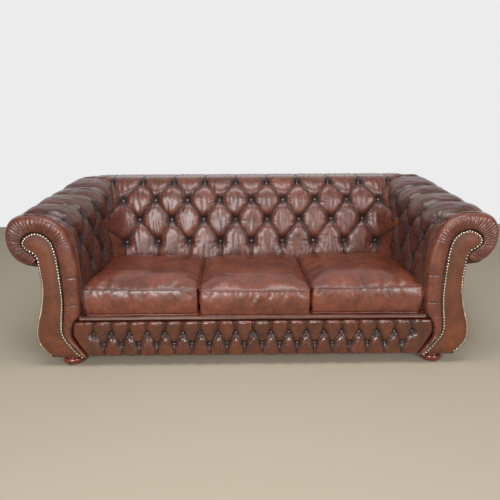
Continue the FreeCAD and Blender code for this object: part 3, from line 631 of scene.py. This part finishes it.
BUTTON = (0.021, 0.006)
button_set("back_buttons_covered", pressed_in(back_point, back_buttons, -0.012), *BUTTON, ("back_buttons",))
for side, hand in SIDES:
    places = pressed_in(lambda *spot: arm_point(side, *spot), arm_buttons, -0.008, -side)
    button_set("arm_buttons_covered_" + hand, places, *BUTTON, ("arm_buttons_" + hand,))


# Facings, cut to the scroll and nailed along both edges (right side, across and height in millimetres)

FACING_OUTER = [(950, 664), (972, 665), (1005, 651), (1027, 626), (1026.5, 601), (1008.5, 581), (986.5, 567),
                (973, 541.5), (970, 513), (968.5, 481), (966, 442), (967, 419), (970, 376), (979.5, 332),
                (991.5, 285), (1008.5, 233.5), (1020, 181.5), (1020, 139.5), (1008, 104), (986, 75.5),
                (961.5, 50.5)]
FACING_INNER = [(817.5, 50.5), (842, 75.5), (867, 111), (888, 146.5), (897.5, 181.5), (893, 233.5),
                (882.5, 302), (877.5, 362), (877.5, 425), (878, 483), (881, 545), (886.5, 588), (900.5, 628),
                (925, 653), (950, 664)]


FACING_FRONT = 0.86  # share of v that a facing's front takes; the rest is its hidden back


def facing_cover(side, seed):
    outer = smooth_path(FACING_OUTER[::-1], 500) / 1000
    inner = smooth_path(FACING_INNER, 500) / 1000
    rim = np.vstack([outer, inner])[::4]

    def place(u, v):
        share = np.linspace(0, 1, 500)
        start, end = (np.column_stack([np.interp(u, share, column) for column in line.T])
                      for line in (inner, outer))
        across = unit(v / FACING_FRONT)
        across = np.where(v > FACING_FRONT, 1 - (v - FACING_FRONT) / 0.14, 0.5 - 0.5 * np.cos(np.pi * across))
        spot = start + (end - start) * across[:, None]
        gap = np.array([np.hypot(*(rim - point).T).min() for point in spot])
        gap = np.minimum(gap, 0.004 + np.maximum(spot[:, 1] - 0.0505, 0))
        round_in = rounded(gap, 0.012)
        deep = 0.009 - 0.008 * round_in - 0.0025 * smoothstep(gap, 0.01, 0.05)
        deep += 0.0006 * waves(spot[:, 0], spot[:, 1], 0.08, seed)
        behind = (v > FACING_FRONT) & (v < 0.999)
        deep = np.where(behind, 0.034, deep)
        return (np.column_stack([side * spot[:, 0], FRONT + deep, spot[:, 1]]),
                np.where(behind, 0.0, 0.6 * bell(gap, 0.007) + 0.3 * bell(gap, 0.022)))
    return place


def nail_heads(side, hand):
    """Domed nails along the outer and the inner edge, not along the foot."""
    bm = bmesh.new()
    for edge in (FACING_OUTER, FACING_INNER):
        line = smooth_path(edge, 400) / 1000
        length = np.linalg.norm(np.diff(line, axis=0), axis=1).sum()
        line = smooth_path(edge, int(length / 0.0138)) / 1000
        tangent = np.gradient(line, axis=0)
        tangent /= np.linalg.norm(tangent, axis=1)[:, None]
        inward = np.column_stack([tangent[:, 1], -tangent[:, 0]]) * 0.0056
        for (x, z), (dx, dz) in list(zip(line, inward))[:-1]:
            made = bmesh.ops.create_uvsphere(bm, u_segments=8, v_segments=6, radius=0.0050)["verts"]
            place = Matrix.Translation((side * (x + dx), FRONT + 0.0035, z + dz))
            bmesh.ops.transform(bm, matrix=place @ Matrix.Diagonal((1, 0.75, 1, 1)), verts=made)
    return piece_from("nail_heads_" + hand, bm, nail_brass)


for side, hand in SIDES:
    cover("facing_leather_" + hand, 240, 36, facing_cover(side, 43 + side), facing_hide,
          "facing_" + hand)
    nail_heads(side, hand)


# Padded band round each facing, gathered round the scroll (stations: facing's edge, then outer edge)

BAND = [((973, 541), (1000, 519)), ((979, 556), (1022, 519)), ((986.5, 567), (1045, 526)),
        ((1000, 576), (1064, 538)), ((1012, 584), (1080, 560)), ((1026.5, 601), (1096, 598)),
        ((1029, 614), (1100, 630)), ((1027, 626), (1099, 662)), ((1018, 641), (1090, 692)),
        ((1005, 651), (1070, 720)), ((990, 660), (1040, 736)), ((972, 665), (1000, 742)),
        ((950, 664), (955, 742)), ((937, 659), (915, 736)), ((925, 653), (880, 720)),
        ((911, 641), (852, 696)), ((900.5, 628), (832, 668)), ((893, 610), (818, 636)),
        ((886.5, 588), (806, 600)), ((881, 545), (797, 550)), ((878, 483), (793, 485)),
        ((877.5, 425), (796, 425)), ((877.5, 362), (799, 362)), ((882.5, 302), (803, 302)),
        ((889, 258), (813, 258)), ((893, 233.5), (834, 236)), ((897.5, 200), (850, 202)),
        ((897, 170), (856, 168)), ((888, 146.5), (851, 138)), ((867, 111), (835, 110)),
        ((842, 75.5), (813, 76)), ((817.5, 50.5), (797, 52))]
GATHERS_END = 17.2 / 31
BAND_SEAMS = (GATHERS_END, 20.5 / 31, 22.7 / 31)
FACE_END, TURN_END, LAP = 0.62, 0.74, 0.985  # shares of v where the band's face, its turn and its back end


def band_cover(side, seed):
    stations_in = np.array([a for a, _ in BAND]) / 1000
    stations_out = np.array([b for _, b in BAND]) / 1000

    def along(stations, t):
        line = smooth_path(stations, 600)
        run = np.linspace(0, 1, 600)
        near = np.array([np.argmin(np.hypot(*(line - point).T)) for point in stations])
        share = np.interp(t, np.linspace(0, 1, len(BAND)), run[np.maximum.accumulate(near)])
        return np.column_stack([np.interp(share, run, column) for column in line.T])

    def place(u, v):
        edge, rim = along(stations_in, u), along(stations_out, u)
        width = np.linalg.norm(rim - edge, axis=1)
        front = unit(v / FACE_END)
        back = unit((v - TURN_END) / 0.26)
        reach = np.where(v < FACE_END, 0.02 + 0.98 * np.sin(front * np.pi / 2) ** 1.15, 1.0)
        reach = np.where(v > TURN_END, 1 - 0.98 * back, reach)
        rounding = 0.024 * (1 - smoothstep(u, 0.72, 0.95) * 0.6)
        deep = 0.012 - 0.019 * np.sin(np.pi * front ** 0.75) ** 0.8
        deep += rounding * unit((front - 0.6) / 0.4) ** 2
        deep = deep + 0.020 * unit((v - FACE_END) / 0.12)
        deep = np.where(v > TURN_END, 0.034 - 0.0005 * back, deep)
        deep = np.where(v > LAP, 0.034 - 0.024 * unit((v - LAP) / 0.015), deep)
        gathered = 1 - smoothstep(u, GATHERS_END - 0.012, GATHERS_END)
        pitch = 2 * np.pi * 62
        ripple = np.sin(pitch * u + 1.6 * waves(u * 1.2, front * 0.05, 0.06, seed))
        shown = np.sin(front * np.pi) ** 0.6 * (v < 0.7)
        uneven = 0.75 + 0.35 * waves(u, front * 0, 0.03, seed + 1)
        strength = gathered * bell(front, 0.52, 2.5) * shown * uneven
        deep = deep - 0.0040 * ripple * strength
        # Troughs of the gathers are darkened: painted shade.
        fold = 0.8 * unit(-ripple) ** 2 * strength
        for seam in BAND_SEAMS:
            close = bell(u - seam, 0.0018) * (v < 0.72)
            deep = deep + 0.0026 * close
            fold = fold + 0.3 * close
        # A dark line along the band's edge at the facing: painted shade in the gap between the two.
        fold = fold + 0.9 * bell(front, 0.07) * (v < 0.72)
        deep = deep + 0.0012 * waves(u, front * 0.06, 0.05, seed + 3) * shown
        spot = edge + (rim - edge) * reach[:, None]
        return np.column_stack([side * spot[:, 0], FRONT + deep, spot[:, 1]]), unit(fold)
    return place


for side, hand in SIDES:
    cover("band_leather_" + hand, 560, 44, band_cover(side, 51 + side), band_hide,
          "front_band_" + hand)


# Front border: two rows of small buttons, short pleats to both edges and plain rounded ends

BORDER_END = [(0.050, 0.795), (0.073, 0.809), (0.116, 0.835), (0.165, 0.856), (0.200, 0.853), (0.231, 0.842)]
BORDER_STEP, BORDER_HIGH = 0.084, 0.181
border_low = [((i - 8.5) * BORDER_STEP, 0.108) for i in range(18)]
border_high = [((i - 9) * BORDER_STEP, 0.165) for i in range(19)]
border_folds = (between_rows(border_low, border_high, 0.06) + [((x, z), (x, 0.235)) for x, z in border_high]
                + [((x, z), (x, 0.046)) for x, z in border_low])


def border_half(z):
    return np.interp(z, *zip(*BORDER_END))


def border_point(x, z, rise):
    return np.column_stack([x, FRONT + 0.012 - rise, z])


def border_cover(u, v):
    front = unit((v - 0.12) / 0.76)
    z = BOTTOM + BORDER_HIGH * front
    half = border_half(z)
    x = (2 * u - 1) * half
    height, fold = leather(x, z, border_low + border_high, border_folds, 0.038, (-0.004, 0.017), 71,
                           dip=0.012, pit=0.0125, thread=0.0018, tuck=0.0008, crinkle=0.0012)
    plain = smoothstep(np.abs(x), 0.775, 0.80)
    height = height * (1 - plain) + 0.010 * plain
    edge = np.minimum(np.minimum(z - 0.046, 0.235 - z), (half - np.abs(x)) + 0.002)
    rounding = rounded(edge, 0.020)
    height = (height + 0.014) * rounding - 0.014
    z = z + 0.0040 * smoothstep(v, 0.70, 0.86) * (height - 0.004) / 0.01
    back = unit(np.maximum(0.12 - v, v - 0.88) / 0.12)
    height = height - 0.022 * np.minimum(back * 4, 1) * (back > 0)
    inward = np.clip((back - 0.25) / 0.75 * 0.5, 0, 0.5)
    z = np.where(back > 0.25, BOTTOM + BORDER_HIGH * np.where(v < 0.5, inward, 1 - inward), z)
    return border_point(x, z, height), fold * (1 - 0.8 * plain)


cover("border_leather", 430, 64, border_cover, border_hide, "front_border")
button_set("border_buttons_covered",
           [(border_point(np.array([x]), np.array([z]), np.array([-0.007]))[0], (0, -1, 0.1))
            for x, z in border_low + border_high], 0.0165, 0.0065, ("border_buttons",))


# Seat deck, whose front lip shows between the border and the cushions

LIP = np.array([(0.060, 0.2335), (0.020, 0.2335), (0.010, 0.236), (0.006, 0.242), (0.010, 0.2485),
                (0.019, 0.2525), (0.045, 0.2545), (0.300, 0.2545), (0.560, 0.2555), (0.590, 0.2555),
                (0.592, 0.2335)])


def deck_cover(u, v):
    run = np.concatenate([[0], np.cumsum(np.linalg.norm(np.diff(LIP, axis=0), axis=1))])
    way = np.interp(v, [0, 0.5, 1], [0, run[6], run[-1]])
    deep, z = (np.interp(way, run, column) for column in LIP.T)
    half = np.where(deep < 0.034, 0.815, 0.815 - SPLAY * deep)
    x = (2 * u - 1) * half
    z = z + 0.0012 * waves(x, deep, 0.12, 83) * (z > 0.24)
    fold = 0.6 * bell(deep - 0.045, 0.003) * (z > 0.25)
    return np.column_stack([x, FRONT + deep, z]), fold


cover("deck_leather", 260, 40, deck_cover, deck_hide, "seat_platform")


# Loose seat cushions: covers blown up as cloth between their seams, piped, over foam

CUSHION_FOOT, CUSHION_FAR, CLOTH_FRAMES = 0.2600, 0.515, 16
# Front and rear ends across, how far back the front is, height of the top seam, droop of the lower one
CUSHIONS = {"left": ((-0.818, -0.257), (-0.772, -0.264), 0.032, 0.381, 0.0050),
            "middle": ((-0.253, 0.270), (-0.260, 0.253), 0.019, 0.377, 0.0075),
            "right": ((0.274, 0.818), (0.257, 0.772), 0.031, 0.384, 0.0025)}


def cushion_foot(share, droop):
    return CUSHION_FOOT - droop * (1 - smoothstep(share, 0.0, 0.10))


def cushion_block(hand, inset=0.0):
    """Boxed block with a crowned top and rounded corners; the points of its seams are marked."""
    front, rear, near, seam_height, droop = CUSHIONS[hand]
    bm = bmesh.new()
    bmesh.ops.create_cube(bm, size=1.0)
    for axis, cuts in ((0, 52), (1, 44), (2, 11)):
        edges = [edge for edge in bm.edges if abs(edge.verts[0].co[axis] - edge.verts[1].co[axis]) > 0.5]
        bmesh.ops.subdivide_edges(bm, edges=edges, cuts=cuts, use_grid_fill=True)
    seam = bm.verts.layers.float.new("seam")
    for vertex in bm.verts:
        x, y, z = vertex.co
        share = y + 0.5
        low, high = (a + (b - a) * share for a, b in zip(front, rear))
        deep = near + (CUSHION_FAR - near) * share
        foot = float(cushion_foot(share, droop))
        height = foot + (seam_height - foot) * (z + 0.5)
        side, end, top = abs(x) > 0.499, abs(y) > 0.499, z > 0.499
        swell = 0.006 * (1 - (2 * z) ** 2)
        corner = 0.009 * abs(4 * x * y) ** 12
        spot = Vector(((low + high) / 2 + (high - low) * x, FRONT + deep, height))
        spot.x += math.copysign(1, x) * (swell * 0.4 * side - inset * abs(2 * x) - corner)
        spot.y += math.copysign(1, y) * (swell * end - inset * abs(2 * y) - corner * 0.6)
        if top:
            rise = (1 - abs(2 * x) ** 4) * (1 - abs(2 * y) ** 4)
            spot.z += 0.040 * rise ** 0.75
        spot.z -= 1.6 * inset * z
        vertex.co = spot
        vertex[seam] = 1.0 if (side or end) and abs(z) > 0.499 else 0.0
    return bm


def blow_up(piece, cap):
    """Cloth with pressure, held at its seams and underneath; no point moves further than the cap."""
    group = piece.vertex_groups.new(name="held")
    before = np.array([vertex.co for vertex in piece.data.vertices])
    for index, mark in enumerate(piece.data.attributes["seam"].data):
        held = mark.value > 0.5 or before[index, 2] < CUSHION_FOOT + 0.0005
        group.add([index], 1.0 if held else 0.0, "REPLACE")
    cloth = piece.modifiers.new("cover", "CLOTH")
    settings = cloth.settings
    settings.quality = 5
    settings.mass = 0.4
    settings.tension_stiffness = settings.compression_stiffness = 12
    settings.shear_stiffness = 6
    settings.bending_stiffness = 0.5
    settings.use_pressure = True
    settings.uniform_pressure_force = 1.8
    settings.vertex_group_mass = "held"
    settings.shrink_min = settings.shrink_max = -0.022
    settings.effector_weights.gravity = 0.0
    cloth.collision_settings.use_collision = False
    cloth.point_cache.frame_start, cloth.point_cache.frame_end = 1, CLOTH_FRAMES
    for number in range(1, CLOTH_FRAMES + 1):
        scene.frame_set(number)
    shown = piece.evaluated_get(bpy.context.evaluated_depsgraph_get())
    after = np.array([vertex.co for vertex in shown.to_mesh().vertices])
    shown.to_mesh_clear()
    piece.modifiers.remove(cloth)
    piece.vertex_groups.clear()
    scene.frame_set(1)
    move = after - before
    far = np.linalg.norm(move, axis=1)
    return before + move * (cap * np.tanh(far / cap) / np.maximum(far, 1e-9))[:, None]


def cushion_creases(x, deep, z, top, seed, slant, tired):
    """Soft rolls and fans of the top, and slanted tucks of the front boxing."""
    patch = smoothstep(waves(x, deep + z, 0.20, seed + 3), -0.2, 0.6)
    along = x * math.cos(slant) + z * math.sin(slant)
    tucks = waves(along, z * 0.12, 0.015, seed, count=5)
    rolls = waves(x, deep, 0.055, seed + 1, stretch=(2.6, 0.6)) + 0.5 * waves(x, deep, 0.022, seed + 2,
                                                                              stretch=(1.8, 0.7))
    return tired * 0.0019 * tucks * patch, top * (0.0016 * rolls * (0.3 + 0.7 * patch)
                                                  + 0.003 * waves(x, deep, 0.24, seed + 4))


def seat_cushion(hand, seed, slant, tired):
    body = "cushion_" + hand
    piece = piece_from("cushion_leather_" + hand, cushion_block(hand), cushion_hide,
                       body=body, stands_for=("cushion_cover_" + hand,))
    piece_from("cushion_foam_" + hand, cushion_block(hand, inset=0.011), seat_foam, body=body,
               stands_for=("cushion_core_" + hand,))
    spots = np.array([vertex.co for vertex in piece.data.vertices])
    seams = np.array([mark.value for mark in piece.data.attributes["seam"].data]) > 0.5
    near, seam_height, droop = CUSHIONS[hand][2:]
    spots = blow_up(piece, 0.007)
    deep = spots[:, 1] - FRONT
    top = smoothstep(spots[:, 2], seam_height + 0.001, seam_height + 0.02)
    front_rise, top_rise = cushion_creases(spots[:, 0], deep, spots[:, 2], top, seed, slant, tired)
    spots[:, 1] -= front_rise * (deep < near + 0.02) * ~seams * (1 - top)
    spots[:, 2] += top_rise * ~seams
    share = (deep - near) / (CUSHION_FAR - near)
    spots[:, 2] = np.maximum(spots[:, 2], cushion_foot(share, droop) - 0.002)
    loops = []
    for high in (True, False):
        rim = spots[seams & ((spots[:, 2] > 0.32) == high)]
        out = rim - rim.mean(axis=0)
        rim = rim[np.argsort(np.arctan2(out[:, 1], out[:, 0]))]
        out = rim - rim.mean(axis=0)
        out[:, 2] = 0
        rim = rim + out * (0.0016 / np.linalg.norm(out, axis=1))[:, None]
        rim[:, 2] += 0.0016 * waves(rim[:, 0], rim[:, 1], 0.11, seed + 9)
        loops.append(smooth_path(rim[::3], 260, closed=True))
        tube("cushion_piping_%s_%s" % (hand, "top" if high else "low"), loops[-1], 0.0064, cushion_hide,
             body=body, closed=True)
    rims = np.vstack(loops)
    gaps = np.array([np.linalg.norm(rims - spot, axis=1).min() for spot in spots])
    darkness = piece.data.attributes.new("fold", "FLOAT", "POINT").data
    for vertex, spot, mark, gap in zip(piece.data.vertices, spots, darkness, gaps):
        vertex.co = spot
        mark.value = 0.6 * math.exp(-(gap / 0.0055) ** 2)
    piece.data.update()
    rounding = piece.modifiers.new("rounding", "SUBSURF")
    rounding.levels = rounding.render_levels = 1


seat_cushion("left", 101, 0.6, 1.0)
seat_cushion("middle", 113, -0.5, 1.6)
seat_cushion("right", 127, -0.4, 0.5)


# Outside panels of the arms and the back, with piping where they meet

def stem_x(z):
    heights, xs = zip(*[(b / 1000, a / 1000) for a, b in reversed(FACING_OUTER[7:])])
    return np.interp(z, heights, xs)


def outside_arm_cover(side, seed):
    def place(u, v):
        deep = 0.034 + u * 0.766
        outer = v < 0.5
        z = BOTTOM + 0.548 * np.where(outer, 2 * v, 2 - 2 * v)
        slack = 0.004 * np.sin(np.pi * u) * np.sin(np.pi * unit((z - BOTTOM) / 0.5))
        slack += 0.0016 * waves(deep, z, 0.16, seed) * np.sin(np.pi * u) ** 0.3
        thick = 0.010 * smoothstep(np.minimum(u, 1 - u), 0, 0.008)
        x = stem_x(z) - SPLAY * deep + np.where(outer, slack, -thick)
        edge = np.minimum(np.minimum(u, 1 - u) * 0.766, z - BOTTOM)
        return np.column_stack([side * x, FRONT + deep, z]), 0.5 * bell(edge, 0.008)
    return place


def outside_back_cover(u, v):
    outer = v < 0.5
    z = BOTTOM + 0.540 * np.where(outer, 2 * v, 2 - 2 * v)
    half = stem_x(z) - SPLAY * BACK_DEEP
    x = (2 * u - 1) * half
    slack = 0.006 * np.sin(np.pi * u) ** 0.6 * np.sin(np.pi * unit((z - BOTTOM) / 0.51)) ** 0.6
    slack += 0.0022 * waves(x, z, 0.22, 91) * np.sin(np.pi * u) ** 0.3
    thick = 0.010 * smoothstep(np.minimum(u, 1 - u), 0, 0.004)
    deep = BACK_DEEP + np.where(outer, slack, -thick)
    edge = np.minimum(half - np.abs(x), z - BOTTOM)
    return np.column_stack([x, FRONT + deep, z]), 0.5 * bell(edge, 0.008)


cover("outside_back_leather", 220, 90, outside_back_cover, arm_hide_painted_shade, "outside_back", ends=False)
for side, hand in SIDES:
    cover("outside_arm_leather_" + hand, 110, 100, outside_arm_cover(side, 95 + side), arm_hide_painted_shade,
          "outside_arm_" + hand, ends=False)
    rear = [(side * (stem_x(z) - SPLAY * BACK_DEEP + 0.001), FRONT + 0.8005, z)
            for z in np.linspace(0.052, 0.575, 60)]
    tube("rear_piping_" + hand, rear, 0.007, arm_hide_painted_shade)


# Feet: turned, with a felt pad

def turned(name, profile, material, stands_for, centre, steps=64):
    """Profile of (radius, height) points spun about an upright axis."""
    bm = bmesh.new()
    verts = [bm.verts.new((radius, 0, z)) for radius, z in profile]
    edges = [bm.edges.new(pair) for pair in zip(verts, verts[1:])]
    bmesh.ops.spin(bm, geom=verts + edges, cent=(0, 0, 0), axis=(0, 0, 1), angle=2 * math.pi, steps=steps,
                   use_merge=True)
    bmesh.ops.remove_doubles(bm, verts=bm.verts, dist=1e-5)
    bmesh.ops.recalc_face_normals(bm, faces=bm.faces)
    bmesh.ops.translate(bm, verts=bm.verts, vec=centre)
    return piece_from(name, bm, material, stands_for=stands_for)


BUN = [(0.0, 0.0030), (0.040, 0.0030), (0.0445, 0.0045), (0.0485, 0.0090), (0.0515, 0.0155),
       (0.0525, 0.0220), (0.0510, 0.0300), (0.0465, 0.0365), (0.0425, 0.0392), (0.0415, 0.0415),
       (0.0425, 0.0450), (0.0425, 0.0495), (0.0, 0.0495)]
PAD = [(0.0, 0.0), (0.030, 0.0), (0.0315, 0.0012), (0.0315, 0.0042), (0.0, 0.0042)]
for node in ("foot_front_left", "foot_front_right", "foot_rear_left", "foot_rear_right"):
    low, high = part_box(node)
    centre = ((low.x + high.x) / 2, (low.y + high.y) / 2 - 0.006 * ("front" in node), 0)
    profile = [BUN[0], *smooth_path(BUN[1:-1], 40), BUN[-1]]
    turned(node.replace("foot", "bun"), profile, show_wood, (node,), centre)
    turned(node.replace("foot", "felt"), PAD, under_cloth, (), centre, 40)


# Dust cover, drawn tight under the frame

def dust_cover_cloth(u, v):
    low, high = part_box("dust_cover")
    deep = (high.y - low.y) * v
    half = high.x - SPLAY * deep
    x = (2 * u - 1) * half
    sag = 0.0016 * np.sin(np.pi * u) * np.sin(np.pi * v) + 0.0005 * waves(x, deep, 0.3, 141)
    z = 0.0512 - np.clip(sag, 0, None) * 0.5
    return np.column_stack([x, low.y + deep, z]), np.zeros(len(u))


cloth = piece_from("under_cloth_sheet", stretched_grid(80, 40, dust_cover_cloth), under_cloth,
                   stands_for=("dust_cover",))
skin = cloth.modifiers.new("thickness", "SOLIDIFY")
skin.thickness = 0.0006
skin.offset = 0

# Finishes of the frame and springs that the covers hide

FINISHES = {"timber": beech, "lining_board": lining_card, "spring_steel": spring_steel,
            "clip_steel": clip_steel, "hardware": zinc, "webbing": strap_cloth, "hessian": jute,
            "foam": seat_foam, "show_wood": show_wood, "dust_cloth": under_cloth, "hide": back_hide,
            "hide_facing": facing_hide, "hide_cushion": cushion_hide, "hide_button": button_hide,
            "hide_deck": deck_hide}
for part in frame["record"]["subparts"]:
    node = frame["nodes"][part["node"]]
    node.data.materials.clear()
    node.data.materials.append(FINISHES[part["material_slot"]])

# Floor, backdrop, light and camera

def plain_surface(name, tone, seen=None):
    """Matt surface; with seen, the camera and reflections see that plain tone instead."""
    material, tree, shader, _ = new_material(name)
    feed(tree, shader, {"Base Color": colour(tone), "Roughness": 0.9})
    if seen:
        rays = add_node(tree, "LightPath", {}).outputs
        direct = math_node(tree, "MAXIMUM", rays["Is Camera Ray"], rays["Is Glossy Ray"])
        glow = add_node(tree, "Emission", {"Color": colour(seen)}).outputs["Emission"]
        mixed = add_node(tree, "MixShader", {"Fac": direct, 1: shader.outputs["BSDF"], 2: glow})
        feed(tree, tree.nodes["Material Output"], {"Surface": mixed.outputs["Shader"]})
    return material


def stage_sheet(name, corners, material):
    bm = bmesh.new()
    bmesh.ops.create_grid(bm, x_segments=1, y_segments=1, size=0.5)
    (x0, x1), (y0, y1), (z0, z1) = corners
    for vertex in bm.verts:
        x, y = vertex.co.x + 0.5, vertex.co.y + 0.5
        vertex.co = (x0 + (x1 - x0) * x, y0 + (y1 - y0) * y, z0 + (z1 - z0) * y)
    mesh_object(name, bm, material)


stage_sheet("floor", ((-9, 9), (-9, 2.2), (0, 0)), plain_surface("pale_floor", "#aca18e"))
stage_sheet("wall", ((-9, 9), (2.2, 2.2), (0, 6)), plain_surface("pale_wall", "#dddddc", "#ececec"))

world = bpy.data.worlds.new("room")
scene.world = world
world.use_nodes = True
feed(world.node_tree, world.node_tree.nodes["Background"], {"Color": (0.86, 0.89, 0.93, 1), "Strength": 0.34})


def soft_lamp(name, place, target, width, height, power, tone=(1, 1, 1)):
    lamp = bpy.data.lights.new(name, "AREA")
    lamp.shape, lamp.size, lamp.size_y = "RECTANGLE", width, height
    lamp.energy, lamp.color = power, tone
    holder = linked(name, lamp)
    holder.location = place
    holder.rotation_euler = (Vector(target) - Vector(place)).to_track_quat("-Z", "Y").to_euler()


soft_lamp("window", (-1.2, -4.0, 1.5), (0, 0, 0.5), 1.5, 1.4, 110, (1.0, 0.98, 0.98))
soft_lamp("far_window", (2.2, -3.6, 1.5), (0, 0, 0.5), 1.0, 1.4, 66, (0.97, 0.98, 1.0))
soft_lamp("ceiling", (0.0, -0.9, 3.2), (0, 0, 0), 2.6, 1.2, 62, (1.0, 0.99, 0.98))

YAW, PITCH, TILT = 0.011, 0.3061, 0.004  # radians
FOCAL_PIXELS, PICTURE_PIXELS = 486.7, 500
lens = bpy.data.cameras.new("camera")
lens.sensor_width = 36
lens.lens = 36 * FOCAL_PIXELS / PICTURE_PIXELS
camera = linked("camera", lens)
turn = (Matrix.Rotation(-YAW, 4, "Z") @ Matrix.Rotation(math.pi / 2 - PITCH, 4, "X")
        @ Matrix.Rotation(-TILT, 4, "Z"))
spot = Matrix.Rotation(-YAW, 4, "Z") @ Vector((-0.0146, -2.0736, 1.2368))
camera.matrix_world = Matrix.Translation(spot + Vector((0, FRONT, 0))) @ turn
scene.camera = camera
scene.view_settings.view_transform = "Standard"
